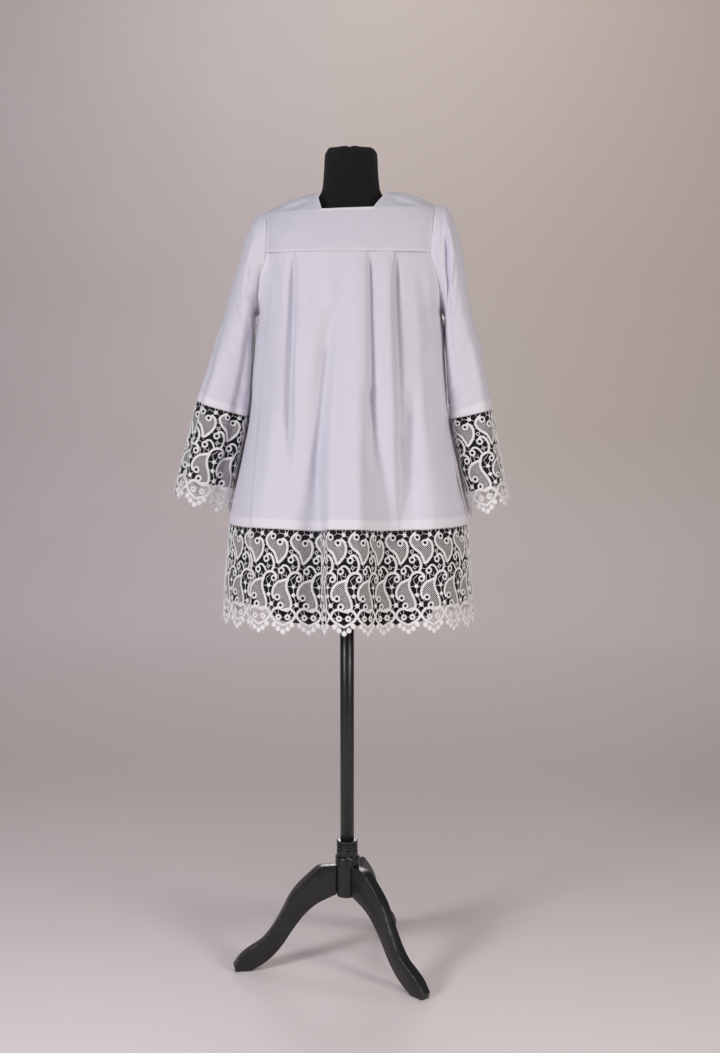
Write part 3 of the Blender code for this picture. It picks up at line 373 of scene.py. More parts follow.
# ---------------------------------------------------------------- dress form and stand, as in the part
FORM_COLUMNS = ("z", "wide", "front", "back", "power")
FORM = (
    (0.748, 0.156, 0.106, 0.114, 2.2), (0.760, 0.167, 0.113, 0.122, 2.2), (0.850, 0.174, 0.118, 0.128, 2.2),
    (0.950, 0.172, 0.112, 0.122, 2.2), (1.060, 0.150, 0.098, 0.100, 2.2), (1.160, 0.129, 0.087, 0.085, 2.2),
    (1.270, 0.137, 0.097, 0.088, 2.2), (1.380, 0.150, 0.111, 0.097, 2.2), (1.470, 0.151, 0.102, 0.097, 2.3),
    (1.540, 0.146, 0.077, 0.086, 2.4), (1.562, 0.132, 0.066, 0.074, 2.3), (1.582, 0.097, 0.059, 0.064, 2.1),
    (1.600, 0.068, 0.055, 0.058, 2.0), (1.622, 0.0575, 0.053, 0.055, 2.0), (1.686, 0.0522, 0.050, 0.051, 2.0),
    (1.6935, 0.0508, 0.049, 0.050, 2.0), (1.6975, 0.0465, 0.045, 0.046, 2.0),
)
FORM_X = 0.002
FORM_GRID = (8, 120, 96)  # rows at the foot's rounded edge, rows above it, points round
GATHER_START_Z, GATHER_DEEP = 1.655, 0.035
GATHERS = ((9, 0.5, 0.3), (14, 0.35, 1.7), (23, 0.25, 4.0))  # waves round the neck, size and phase
RIM_RISE = 0.0016  # how far the gathers lift the edge of the neck's top
TOP_RINGS = ((0.86, 0.0016), (0.66, 0.0026), (0.42, 0.0030), (0.18, 0.0024))  # part of the radius, and rise
POLE_X = -0.007
POLE_RADIUS = 0.0145
POLE_FOOT_Z = 0.2728
POLE_MID_Z = 0.5
HUB_RADIUS = 0.0263
LEG_THICK = 0.022
LEG_BEVEL = 0.0016
BEVEL_STEP = 0.3  # part of the bevel at the middle ring of a rounded edge
BEVEL_INSET = 0.8  # how far the side face is drawn in, as a part of the bevel
LEG_POINTS, FOOT_POINTS = 56, 4  # along each outline, and along the flat foot
LEG_ANGLES = {"leg_rear": 68.5, "leg_left": 191.5, "leg_right": 314.5}
LEG_TOP = (
    (0.0245, 0.2200), (0.0560, 0.2185), (0.0830, 0.2000), (0.1180, 0.1635), (0.1410, 0.1210),
    (0.1610, 0.0880), (0.1815, 0.0640), (0.2070, 0.0480), (0.2260, 0.0340), (0.2420, 0.0130),
)
LEG_UNDER = (
    (0.0245, 0.1570), (0.0650, 0.1390), (0.0900, 0.1190), (0.1150, 0.0880), (0.1400, 0.0520),
    (0.1635, 0.0265), (0.1820, 0.0130), (0.2050, 0.0000), (0.2380, 0.0000),
)
LEG_WEAR_AND_HIGHLIGHT = (0.6, 1.0, 0.5)  # rubbed wear and painted highlight, from a side face over its rounded edge
TOE_START, TOE_LONG = 0.215, 0.02
HUB_PROFILE = (
    (0.020, 0.151), (0.0238, 0.1524), (0.0252, 0.1550), (HUB_RADIUS, 0.160), (HUB_RADIUS, 0.234),
    (0.0252, 0.2370), (0.0238, 0.2385),
)
# rubbed wear and painted highlight at each ring of HUB_PROFILE
HUB_WEAR_AND_HIGHLIGHT = (0, 1, 0.6, 0.2, 0.2, 0.8, 1)
COLLAR_RIBS = ((0.2388, 0.2525), (0.2545, 0.2590), (0.2605, 0.2650), (0.2665, 0.2722))
COLLAR_RADII = (0.0198, 0.0222)
# rubbed wear and painted highlight at each ring of a rib
RIB_WEAR_AND_HIGHLIGHT = (0, 1, 0.4, 0.4, 1, 0)
TURNED_SOFT = 0.0006  # how far a turned edge is eased
TURNED_POINTS, HUB_POINTS = 56, 18  # points round, and between two legs

# ---------------------------------------------------------------- colours
CLOTH_SINGLE, CLOTH_COOL = (0.745, 0.730, 0.803), (0.730, 0.718, 0.797)
CLOTH_CLOSE_SHADED = (0.700, 0.684, 0.745)  # darker where it lies on the black form: partly the form showing through, partly painted shade
CLOTH_SLUB, CLOTH_DOUBLE = (0.795, 0.770, 0.830), (0.860, 0.840, 0.890)
CLOTH_SHEEN = (0.92, 0.88, 1.0)
LACE_WHITE, LACE_CREAM = (0.950, 0.935, 0.935), (0.850, 0.835, 0.838)
LINING_BLACK = (0.010, 0.010, 0.011)
LINING_DARK, LINING_PALE = (0.008, 0.008, 0.009), (0.015, 0.015, 0.016)
JERSEY_BLACK, JERSEY_SHEEN = (0.009, 0.008, 0.008), (0.85, 0.80, 0.80)
JERSEY_DARK, JERSEY_FLUFF = (0.007, 0.0065, 0.0065), (0.014, 0.013, 0.013)
PAINT_BLACK = (0.014, 0.014, 0.015)
PAINT_DARK, PAINT_DUSTY = (0.0085, 0.0085, 0.0092), (0.016, 0.0155, 0.015)
# pale grey of rubbed edges, partly a painted highlight along them, and bare wood at the chipped toes
PAINT_RUBBED_AND_HIGHLIT, BARE_WOOD = (0.24, 0.23, 0.22), (0.16, 0.085, 0.04)
BACKDROP_PAPER = (0.60, 0.585, 0.575)
BACKDROP, BACKDROP_LOW = (0.830, 0.750, 0.735), (0.800, 0.720, 0.700)
# the wall's right side in warmer, darker painted shade, and the floor behind in painted shadow
BACKDROP_RIGHT_SHADE, FLOOR_BEHIND_SHADOW = (0.790, 0.700, 0.620), (0.740, 0.670, 0.650)
FLOOR, FLOOR_SHADE = (0.905, 0.822, 0.818), (0.880, 0.800, 0.790)
WORLD_LIGHT, WORLD_COLOUR = 0.16, (0.84, 0.86, 1.0)

# ---------------------------------------------------------------- scales and shares of the materials
CLOTH_THREADS, LINING_THREADS = 2400.0, 2000.0  # to a metre
WALES = 620.0
COURSES, LEAN, VALLEY = 1.25, 1.4, -1.6  # courses to a wale, a stitch's slope, and how deep wales part
SATIN_PITCH = 0.00055
SLUB_SHOWS, DOUBLE_SHOWS = 0.12, 0.9  # parts of a colour that a mark brings in
WOBBLE = 5.0  # how far, in radians, the satin stitches' rows wander
# noise detail, cut and softness of the edges' mask of rubbed wear and painted highlight
WEAR_DETAIL, WEAR_CUT, WEAR_SOFT = 6.0, 0.72, 0.06
# share of that pale grey, rubbed wear and painted highlight, and the roughness it adds
RUBBED_AND_HIGHLIT_SHOWS, RUBBED_ROUGH = 0.8, 0.25
STREAK_SCALE = (60.0, 60.0, 9.0)
NODE_WIDE, NODE_TALL, NODES_ACROSS = 220, 320, 8

# ---------------------------------------------------------------- camera, backdrop and light
CAMERA_AT = (0.199, -2.989, 1.259)
CAMERA_TURN, CAMERA_DOWN = 3.0, 6.13
LENS, SENSOR = 50.0, 36.0
BACKDROP_HALF, BACKDROP_TALL = 9.0, 8.0
BACKDROP_NEAR, BACKDROP_FAR = -8.0, 3.5  # where the level floor begins and ends
BACKDROP_BEND, BACKDROP_LOWER = 1.8, -0.0004  # the curve's radius, and the floor's height
BEND_POINTS, BACKDROP_COLUMNS = 40, 9
WALL_STARTS = (0.0, 0.9)  # heights between which the floor's colour becomes the wall's
BEHIND_NEAR, BEHIND_FAR = (0.0, 1.3), (3.6, 1.6)  # depths between which the painted shadow on the floor begins and ends
RIGHT_STARTS = (-1.0, 1.0)  # places across between which the wall takes its right side's warmer, darker painted shade
# name, place, aim, width, watts, colour and the spread of its beam in degrees
LIGHTS = (
    ("left softbox", (-2.5, -2.8, 2.1), (0.0, 0.0, 1.1), 1.1, 65, (0.98, 0.97, 1.0), 180),
    ("right softbox", (2.9, -2.3, 1.8), (0.0, 0.0, 1.1), 1.2, 50, (1.0, 0.935, 0.865), 180),
    ("overhead", (-0.1, -0.6, 4.4), (-0.1, -0.6, 0.0), 2.4, 11, (1.0, 0.98, 0.98), 180),
    ("floor light", (-0.1, -1.7, 3.3), (-0.1, -1.7, 0.0), 1.3, 5, (1.0, 0.98, 0.98), 80),
    ("backdrop light", (-0.1, 2.6, 4.4), (-0.1, 5.3, 1.2), 2.0, 42, (1.0, 0.98, 0.97), 180),
    ("back softbox", (-0.2, 2.5, 1.6), (0.0, 0.0, 1.15), 0.9, 3.4, (0.98, 0.97, 1.0), 50),
)


# ================================================================ curves, as in the part
def curve_through(keys, values, at):
    """A smooth curve through points: cubic steps whose slopes are harmonic means of the rises beside them."""
    keys, values = np.asarray(keys, float), np.asarray(values, float)
    at = np.clip(np.asarray(at, float), keys[0], keys[-1])
    step = np.diff(keys)
    rise = np.diff(values) / step
    slope = np.empty(len(keys))
    slope[0], slope[-1] = rise[0], rise[-1]
    turning = rise[:-1] * rise[1:] <= 0
    mean = 2.0 * rise[:-1] * rise[1:] / np.where(turning, 1.0, rise[:-1] + rise[1:])
    slope[1:-1] = np.where(turning, 0.0, mean)
    here = np.clip(np.searchsorted(keys, at, side="right") - 1, 0, len(step) - 1)
    t = (at - keys[here]) / step[here]
    return (
        values[here] * (1 + 2 * t) * (1 - t) ** 2
        + step[here] * slope[here] * t * (1 - t) ** 2
        + values[here + 1] * t * t * (3 - 2 * t)
        - step[here] * slope[here + 1] * t * t * (1 - t)
    )


def column(table, names, name, at):
    """A named column of a table, read with curve_through at the values `at` of its first column."""
    return curve_through([row[0] for row in table], [row[names.index(name)] for row in table], at)


def ease(t):
    """3t^2 - 2t^3, held at 0 before 0 and at 1 after 1."""
    t = np.clip(t, 0.0, 1.0)
    return t * t * (3 - 2 * t)


def super_wave(angle, power):
    """Cosine and sine of a squared-off circle: each is raised to 2/power, with its sign kept."""
    c, s = np.cos(angle), np.sin(angle)
    return np.sign(c) * np.abs(c) ** (2 / power), np.sign(s) * np.abs(s) ** (2 / power)


def along(points):
    """Distance along a line of points."""
    return np.concatenate([[0], np.cumsum(np.linalg.norm(np.diff(points, axis=0), axis=1))])


def read_along(points, values, parts):
    """Values that go with a line's points, read at the given parts of its length."""
    s = along(points)
    return np.stack([np.interp(parts * s[-1], s, values[:, k]) for k in range(values.shape[1])], axis=1)


def resample(points, parts):
    """Points at the given parts of a line's length, straight between its own points."""
    return read_along(points, points, parts)


def smooth_line(points, count):
    """count points, evenly along a smooth curve through a few: curve_through on each coordinate."""
    points = np.asarray(points, float)
    keys = along(points)
    fine = np.linspace(0, keys[-1], 8 * count)
    curve = np.stack([curve_through(keys, points[:, k], fine) for k in range(points.shape[1])], axis=1)
    return resample(curve, np.linspace(0, 1, count))


def rounded_line(points, count):
    """count points on a uniform cubic spline (Catmull-Rom, its tangents half the step between neighbours)."""
    p = np.asarray(points, float)
    p = np.concatenate([[2 * p[0] - p[1]], p, [2 * p[-1] - p[-2]]])
    t = np.linspace(0, len(p) - 3, 10 * count)
    i = np.minimum(t.astype(int), len(p) - 4)
    f = (t - i)[:, None]
    a, b, c, d = p[i], p[i + 1], p[i + 2], p[i + 3]
    curve = 0.5 * (2 * b + (c - a) * f + (2 * a - 5 * b + 4 * c - d) * f**2 + (3 * b - a - 3 * c + d) * f**3)
    return resample(curve, np.linspace(0, 1, count))


def armhole(side, angle):
    """A point of the armhole's loop: a squared-off ring in height and depth, its x read from ARMHOLE_X."""
    c, s = super_wave(np.radians(angle), ARMHOLE_POWER)
    rise = np.where(c > 0, SHOULDER_TOP_Z[side] - YOKE_SEAM_Z, YOKE_SEAM_Z - UNDERARM_Z)
    z = YOKE_SEAM_Z + rise * c
    x = side * column(ARMHOLE_X[side], ("z", "x"), "x", z)
    return np.stack([x, -ARMHOLE_DEEP * s, z], axis=-1)


def by_height(z, at_yoke, at_mid, at_hem):
    """A fold's value at height z, from its values at the yoke seam, MID_Z and the hem."""
    return curve_through((HEM_Z, MID_Z, YOKE_SEAM_Z), (at_hem, at_mid, at_yoke), z)


def fold_level(folds, x, z):
    """How far the folds move the cloth outwards: a sum of eased steps, one at each fold's edge."""
    level = np.full(np.shape(x), by_height(z, *folds[0][3]))
    for before, (_, edge, flank, beyond) in zip(folds, folds[1:]):
        change = by_height(z, *beyond) - by_height(z, *before[3])
        wide = by_height(z, *flank)
        level = level + change * ease((x / MM - by_height(z, *edge)) / wide + 0.5)
    return level * MM


def crease_level(table, x, y, start, end):
    """Creases: the sum of a bell across each bowed line, eased in and out over two parts of its length."""
    level = np.zeros(np.broadcast(x, y).shape)
    for x1, y1, x2, y2, bow, wide, height in table:
        run_x, run_y = x2 - x1, y2 - y1
        length = math.hypot(run_x, run_y)
        t = ((x - x1) * run_x + (y - y1) * run_y) / length**2
        bowed = bow * 4 * np.clip(t, 0, 1) * (1 - np.clip(t, 0, 1))
        off = ((x - x1) * run_y - (y - y1) * run_x) / length - bowed
        level += height * np.exp(-((off / wide) ** 2)) * ease(t / start) * ease((1 - t) / end)
    return level


def ripple_level(x, z):
    """Slow uneven waves, a sum of sines in millimetres, calm near the yoke."""
    waves = sum(height * np.sin(FULL_TURN * (a * x + b * z) + phase) for height, a, b, phase in RIPPLES)
    return waves * ease((YOKE_SEAM_Z - z) / RIPPLE_CALM)


def plan_line(face, a, b, deep, power):
    """A squared-off half ring in plan from a to b: x = half width cos, y = deep sin, each to the 2/power."""
    ends, halves = [], []
    for point in (a, b):
        angle = math.asin(min(abs(point[1]) / deep, 1.0) ** (power / 2))
        ends.append(angle)
        halves.append(abs(point[0]) / math.cos(angle) ** (2 / power))
    c, s = super_wave(np.linspace(math.pi - ends[0], ends[1], PLAN_POINTS), power)
    x = -face * np.where(c < 0, halves[0], halves[1]) * c
    part = (x - x[0]) / (x[-1] - x[0])
    return np.stack([x, face * deep * s, a[2] + (b[2] - a[2]) * part], axis=1), s


def body_curve(face, z, left=None, right=None):
    """The body's plan curve at height z: plan_line moved along its normals by folds, creases and waves."""
    deep = float(column(BODY, BODY_COLUMNS, FACES[face], z))
    power = float(column(BODY, BODY_COLUMNS, "squareness", z))
    if left is None:
        left = np.array([-float(column(BODY, BODY_COLUMNS, "left", z)), 0.0, z])
        right = np.array([float(column(BODY, BODY_COLUMNS, "right", z)), 0.0, z])
    line, s = plan_line(face, *((left, right) if face < 0 else (right, left)), deep, power)
    normal = np.stack([np.gradient(line[:, 1]), -np.gradient(line[:, 0]), np.zeros(len(line))], axis=1)
    normal /= np.linalg.norm(normal, axis=1)[:, None]
    length = along(line)
    edge = np.minimum(length, length[-1] - length)
    x = -face * line[:, 0]
    small = crease_level(CREASES[face], x / MM, z / MM, *CREASE_FADE) + ripple_level(x, z)
    level = fold_level(FOLDS[face], x, z) * ease((s - SIDE_START) / SIDE_CALM) + small * MM
    held = SEAM_HELD + (1 - SEAM_HELD) * ease((YOKE_SEAM_Z - z) / SEAM_FREE)
    level = level * ease(edge / EDGE_CALM) * held
    line[:, 2] = z + LIFT * np.maximum(level, 0) * ease((FOLD_START_Z - z) / (FOLD_START_Z - HEM_Z))
    return line + normal * level[:, None]


def normals_of(grid, closed=False):
    """Unit normals of a grid: the cross product of its slopes across and down. They point outwards."""
    if closed:
        grid = np.concatenate([grid[:, -1:], grid, grid[:, :1]], axis=1)
    normal = np.cross(np.gradient(grid, axis=1), -np.gradient(grid, axis=0))
    normal /= np.linalg.norm(normal, axis=2)[..., None]
    return normal[:, 1:-1] if closed else normal


def read_grid(grid, u, v):
    """Values of a grid at parts u along its rows and v down its columns, straight between its points."""
    rows, columns = grid.shape[:2]
    i = np.clip(u * (columns - 1), 0, columns - 1 - TINY)
    j = np.clip(v * (rows - 1), 0, rows - 1 - TINY)
    i0, j0 = i.astype(int), j.astype(int)
    a, b = (i - i0)[:, None], (j - j0)[:, None]
    return (
        grid[j0, i0] * (1 - a) * (1 - b) + grid[j0, i0 + 1] * a * (1 - b)
        + grid[j0 + 1, i0] * (1 - a) * b + grid[j0 + 1, i0 + 1] * a * b
    )


# ================================================================ meshes
def new_object(name, points, faces, finish):
    """A smooth-shaded object from points and faces, with one material."""
    mesh = bpy.data.meshes.new(name)
    mesh.from_pydata(points.tolist(), [], faces)
    mesh.shade_smooth()
    mesh.materials.append(finish)
    made = bpy.data.objects.new(name, mesh)
    bpy.context.scene.collection.objects.link(made)
    return made


def mesh_piece(name, points, groups, uv, finish, replaces=(), marks=None):
    """A piece from points and groups of equal-sided faces. uv holds each face corner's place, in order."""
    faces = [face for group in groups for face in np.asarray(group).tolist()]
    piece = new_object(name, points + CENTRE, faces, finish)
    mesh = piece.data
    places = np.concatenate([np.asarray(part).reshape(-1) for part in uv])
    mesh.uv_layers.new(name="cloth").data.foreach_set("uv", places.astype(np.float32))
    for word, values in (marks or {}).items():
        mesh.attributes.new(word, "FLOAT", "POINT").data.foreach_set("value", values.astype(np.float32))
    mesh.set_sharp_from_angle(angle=math.radians(SHARP_ANGLE))
    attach(piece, "root")
    if replaces:
        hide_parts(*replaces)


def corners(rows, columns, wrap):
    """Row and column of the corners of each quad of a grid; with wrap the last column meets the first."""
    j, i = np.meshgrid(np.arange(rows - 1), np.arange(columns if wrap else columns - 1), indexing="ij")
    j, i = j.reshape(-1, 1), i.reshape(-1, 1)
    return np.concatenate([j, j + 1, j + 1, j], axis=1), np.concatenate([i, i, i + 1, i + 1], axis=1)


def shell(name, grid, thick, finish, node, closed=False, lean=None, doubled=None, close_shade=0.0):
    """A closed wall: the grid, a second one `thick` behind it along the normals, and quads round its edges.

    Its UV is the distance in metres across and down the cloth. lean gives the normals of whole rows, as
    {row: normal}. doubled is a mark, 0 to 1, where cloth is double. The last is one where the cloth is
    darkened, partly for the black form showing through and partly as painted shade: a number, or a field with
    the grid's rows and columns.
    """
    normal = normals_of(grid, closed)
    for row, direction in (lean or {}).items():
        normal[row] = direction
    rows, columns = grid.shape[:2]
    count = rows * columns
    points = np.concatenate([grid.reshape(-1, 3), (grid - normal * thick).reshape(-1, 3)])
    middle = grid[rows // 2]
    across = along(np.concatenate([middle, middle[:1]]) if closed else middle)
    down = along(grid[:, columns // 2])
    j, i = corners(rows, columns, closed)
    outer = j * columns + i % columns
    uv = np.stack([across[i], -down[j]], axis=-1)
    groups, places = [outer, outer[:, ::-1] + count], [uv, uv[:, ::-1]]
    level, upright = np.arange(columns + 1 if closed else columns), np.arange(rows)
    edges = [(0 * level, level[::-1]), (0 * level + rows - 1, level)]
    if not closed:
        edges += [(upright, 0 * upright), (upright[::-1], 0 * upright + columns - 1)]
    for j, i in edges:
        rim, place = j * columns + i % columns, np.stack([across[i], -down[j]], axis=1)
        groups.append(np.stack([rim[1:], rim[:-1], rim[:-1] + count, rim[1:] + count], axis=1))
        places.append(np.stack([place[1:], place[:-1], place[:-1], place[1:]], axis=1))
    marks = None
    if doubled is not None:
        fields = {"doubled": doubled, "close_shade": np.broadcast_to(close_shade, doubled.shape)}
        marks = {word: np.tile(field.ravel(), 2) for word, field in fields.items()}
    mesh_piece(name, points, groups, places, finish, [node], marks)


def loft(rings, closed=False):
    """Points, quads, end caps and corner places of a tube through rings of points (count, round, 3).

    Its UV is the distance along the tube and the part of the way round. Its faces are turned outwards.
    """
    count, sides = rings.shape[:2]
    points = rings.reshape(-1, 3)
    j, i = corners(count + 1 if closed else count, sides, True)
    quads = (j % count) * sides + i % sides
    middle = rings.mean(axis=1)
    length = along(np.concatenate([middle, middle[:1]]) if closed else middle)
    uv = np.stack([length[j], i / sides], axis=-1)
    first = np.arange(sides)
    caps = np.zeros((0, sides), int) if closed else np.stack([first, first[::-1] + (count - 1) * sides])
    corner = points[quads]
    turn = np.cross(corner[:, 1] - corner[:, 0], corner[:, 2] - corner[:, 0])
    away = corner.mean(axis=1) - np.repeat(middle, sides, axis=0)[:len(quads)]
    if (turn * away).sum() < 0:
        quads, uv, caps = quads[:, ::-1], uv[:, ::-1], caps[:, ::-1]
    return points, quads, uv, caps, np.zeros((len(caps), sides, 2))


def gather(parts):
    """Lofts joined into one set of points, with their faces grouped by the number of sides."""
    points, faces, places, start = [], {}, {}, 0
    for at, quads, uv, caps, cap_uv in parts:
        points.append(at)
        for group, where in ((quads, uv), (caps, cap_uv)):
            if len(group):
                size = group.shape[1]
                faces.setdefault(size, []).append(group + start)
                places.setdefault(size, []).append(where)
        start += len(at)
    sizes = sorted(faces)
    joined = [np.concatenate(faces[size]) for size in sizes]
    return np.concatenate(points), joined, [np.concatenate(places[size]) for size in sizes]


# ================================================================ sewing
def step_up(distance, deep, soft=BAND_SOFT):
    """1 within `deep` of an edge and 0 beyond it, with an eased step `soft` wide."""
    return 1 - ease((distance - deep) / soft + 0.5)


def sewn(grid, row):
    """The places of the stitches along a row of a grid: middle points, directions along, and normals."""
    line = grid[row]
    count = max(int(along(line)[-1] / MM / STITCH["pitch"]), 2)
    parts = (np.arange(count) + 0.5) / count
    ahead = read_along(line, np.gradient(line, axis=0), parts)
    lean = read_along(line, normals_of(grid)[row], parts)
    return resample(line, parts), *(way / np.linalg.norm(way, axis=1)[:, None] for way in (ahead, lean))


def make_stitches(name, seams, finish):
    """Small thread spindles, three rings of four points each, laid end to end along the rows of stitches."""
    at, ahead, lean = (np.concatenate(parts) for parts in zip(*seams))
    side = np.cross(lean, ahead)
    lengthways = np.array([-0.5, 0.0, 0.5]) * STITCH["long"]
    swell = np.array([STITCH_TAPER, 1.0, STITCH_TAPER])
    turn = np.linspace(0, FULL_TURN, STITCH_SIDES, endpoint=False)
    across = swell[:, None] * np.cos(turn) * STITCH["wide"] / 2
    height = swell[:, None] * np.sin(turn) * STITCH["tall"] / 2
    rings = np.stack([np.broadcast_to(lengthways[:, None], across.shape), across, height], axis=-1) * MM
    points, quads, uv, caps, cap_uv = loft(rings)
    placed = (
        at[:, None] + ahead[:, None] * points[None, :, :1] + side[:, None] * points[None, :, 1:2]
        + lean[:, None] * points[None, :, 2:]
    ).reshape(-1, 3)
    shift = (np.arange(len(at)) * len(points))[:, None, None]
    faces = (np.concatenate([quads, caps])[None] + shift).reshape(-1, STITCH_SIDES)
    places = np.tile(np.concatenate([uv, cap_uv]), (len(at), 1, 1))
    mesh_piece(name, placed, [faces], [places], finish)


# ================================================================ cloth
def body_rows(face):
    """The panel's plan curves: beside the armholes at their own heights, then level ones to the hem."""
    above, below, _ = BODY_GRID
    angles = np.linspace(90, 180, above)
    angles = angles if face < 0 else 360 - angles
    arms = {side: armhole(side, angles) for side in SIDES}
    heights = arms[1][:, 2].copy()
    heights[0] -= SEAM_GAP
    curves = [body_curve(face, z, arms[-1][k], arms[1][k]) for k, z in enumerate(heights)]
    lower = np.linspace(UNDERARM_Z, HEM_Z, below)[1:]
    return np.concatenate([heights, lower]), curves + [body_curve(face, z) for z in lower]


def make_body(face, finish):
    """A pleated panel with a doubled hem above its lace. It gives back the places of its stitches."""
    heights, curves = body_rows(face)
    parts = np.linspace(0, 1, BODY_GRID[2])
    grid = np.stack([resample(curve, parts) for curve in curves])
    grid[:, (0, -1), 1] += face * SEAM_GAP
    hem = step_up(heights - HEM_Z, HEM_BAND)[:, None] * np.ones(len(parts))
    length = np.array([along(curve)[-1] for curve in curves])[:, None]
    across = parts * length
    beside = step_up(np.minimum(across, length - across), SEAM_BAND) * (heights[:, None] > UNDERARM_Z)
    grid = grid + normals_of(grid) * (hem * BAND_RISE)[..., None]
    # painted shade, partly the black form showing through: darker up the chest and towards the viewer's right
    near = ease((heights - CHEST_Z) / CHEST_FADE)[:, None] * ease((grid[..., 0] - CHEST_X) / CHEST_FADE)
    word = FACES[face]
    shell(f"panel_{word}", grid, CLOTH_THICK, finish, f"body_{word}",
          doubled=np.maximum(hem, beside * SEAM_MARK), close_shade=near)
    return [sewn(grid, int(np.argmin(np.abs(heights - HEM_Z - HEM_BAND + STITCH_IN))))]


def yoke_row(face, part, side_columns, neck_columns):
    """A level line of a yoke, at a part of the way from its lower seam to its shoulder seam."""
    angle = np.interp(part, np.linspace(0, 1, len(YOKE_ANGLES)), YOKE_ANGLES[::-1])
    angle = angle if face < 0 else 360 - angle
    a, b = armhole(face, angle), armhole(-face, angle)
    bottom, top, corner = YOKE_PLAN[face]
    line, s = plan_line(face, a, b, bottom + (top - bottom) * part, BODY[-1][-1])
    line[:, 2] += YOKE_RISE * part * s
    length = along(line)
    near, far = np.interp((-corner, corner), -face * line[:, 0], length / length[-1])
    beside = np.linspace(0, near, side_columns)[:-1]
    neck = np.linspace(near, far, neck_columns)[:-1]
    return resample(line, np.concatenate([beside, neck, np.linspace(far, 1, side_columns)]))


def make_yoke(face, finish):
    """A straight yoke strip, doubled along its lower seam, its ends and the neck's edge."""
    rows, side_columns, neck_columns = YOKE_GRID
    grid = np.stack([yoke_row(face, part, side_columns, neck_columns) for part in np.linspace(1, 0, rows)])
    down = along(grid[:, grid.shape[1] // 2])
    up = down[-1] - down
    across = along(grid[rows // 2])
    low = step_up(up, SEAM_BAND)[:, None]
    ends = step_up(np.minimum(across, across[-1] - across), SEAM_BAND)[None, :]
    neck = np.zeros(grid.shape[1])
    neck[side_columns - 1:1 - side_columns] = 1
    edge = step_up(down, NECK_BAND)[:, None] * neck
    scaled = grid * YOKE_WAVE_SCALE
    waves = ripple_level(scaled[..., 0], UNDERARM_Z - scaled[..., 2]) * YOKE_WAVES * MM
    calm = (ease(down / YOKE_CALM) * ease(up / YOKE_CALM))[:, None]
    grid = grid + normals_of(grid) * (waves * calm + BAND_RISE * low)[..., None]
    word = FACES[face]
    # the whole yoke darkened: partly the black form showing through, partly painted shade
    shell(f"yoke_strip_{word}", grid, CLOTH_THICK, finish, f"yoke_{word}",
          lean={0: SEAM_LEAN[face]}, doubled=np.maximum(np.maximum(low, ends) * SEAM_MARK, edge), close_shade=1.0)
    lower = int(np.argmin(np.abs(up - SEAM_BAND + STITCH_IN)))
    upper = int(np.argmin(np.abs(down - NECK_BAND)))
    return [sewn(grid, lower), sewn(grid[:, side_columns:-side_columns], upper)]


def make_strap(side, finish):
    """A shoulder strap: a Coons patch between its two seams, the neck's edge and the armhole."""
    over, columns = STRAP_GRID
    seams = []
    for face in FACES:
        row = yoke_row(face, 1.0, columns, columns)
        row = row[np.argsort(side * row[:, 0])]
        seams.append(row[-columns:] + np.array([0.0, 0.0, SEAM_GAP]))
    front, back = seams
    loop = np.array([*STRAP_ANGLES[::-1], *(-angle for angle in STRAP_ANGLES[1:])], float)
    parts = np.linspace(0, 1, over)
    arm = armhole(side, np.interp(parts, np.linspace(0, 1, len(loop)), loop))
    arm[0], arm[-1] = front[-1], back[-1]
    top_x, top_z = NECK_SIDE[side]
    rise = np.array([side * top_x, 0.0, top_z]) - (front[0] + back[0]) / 2
    bend = 1 - np.abs(2 * parts - 1) ** STRAP_BEND
    neck = front[0] + (back[0] - front[0]) * parts[:, None] + rise * bend[:, None]
    x = np.linspace(0, 1, columns)[None, :, None]
    e = parts[:, None, None]
    grid = (
        (1 - e) * front[None] + e * back[None] + (1 - x) * neck[:, None] + x * arm[:, None]
        - (1 - e) * ((1 - x) * front[0] + x * front[-1]) - e * ((1 - x) * back[0] + x * back[-1])
    )
    x, e = x[..., 0], e[..., 0]
    calm_x, calm_e = STRAP_CALM
    rim = ease(x / calm_x) * ease((1 - x) / calm_x) * ease(e / calm_e) * ease((1 - e) / calm_e)
    lift = crease_level(STRAP_CREASES, x, e, *STRAP_CREASE_FADE) * rim * MM
    neck_end, arm_start, soft = STRAP_BANDS
    band = np.maximum(1 - ease((x - neck_end) / soft), ease((x - arm_start) / soft)) * np.ones_like(e)
    grid, lift, band = (part[::-1, ::side] for part in (grid, lift, band))
    grid = grid + normals_of(grid) * lift[..., None]
    word = SIDES[side]
    # the whole strap darkened: partly the black form showing through, partly painted shade
    shell(f"strap_{word}", grid, CLOTH_THICK, finish, f"shoulder_strap_{word}",
          lean={0: SEAM_LEAN[1], over - 1: SEAM_LEAN[-1]}, doubled=band * SEAM_MARK, close_shade=1.0)


def sleeve_level(side, down, bearings):
    """How far folds, creases and waves move a sleeve's section outwards, in millimetres."""
    level = np.zeros(len(bearings))
    for _, bearing, wide, *sizes in SLEEVE_FOLDS[side]:
        off = (bearings - bearing + 180) % 360 - 180
        size = curve_through(SLEEVE_FOLD_DOWNS, sizes, down) * ease(down / FOLD_FADE)
        level += float(size) * ease(1 - np.abs(off) / wide)
    start, end = SLEEVE_CREASE_FADE
    for b1, d1, b2, d2, bow, wide, height in SLEEVE_CREASES[side]:
        t = np.clip((down - d1) / (d2 - d1), 0, 1)
        off = (bearings - b1 - (b2 - b1) * t - bow * 4 * t * (1 - t) + 180) % 360 - 180
        level += height * np.exp(-((off / wide) ** 2)) * float(ease(t / start) * ease((1 - t) / end))
    turn = np.radians(bearings)
    waves = sum(
        height * np.sin(wave * turn + SLEEVE_WAVE_TURN * b * down + phase)
        for wave, (height, _, b, phase) in zip(SLEEVE_WAVES, RIPPLES)
    )
    return level + waves * float(ease(down / FOLD_FADE))


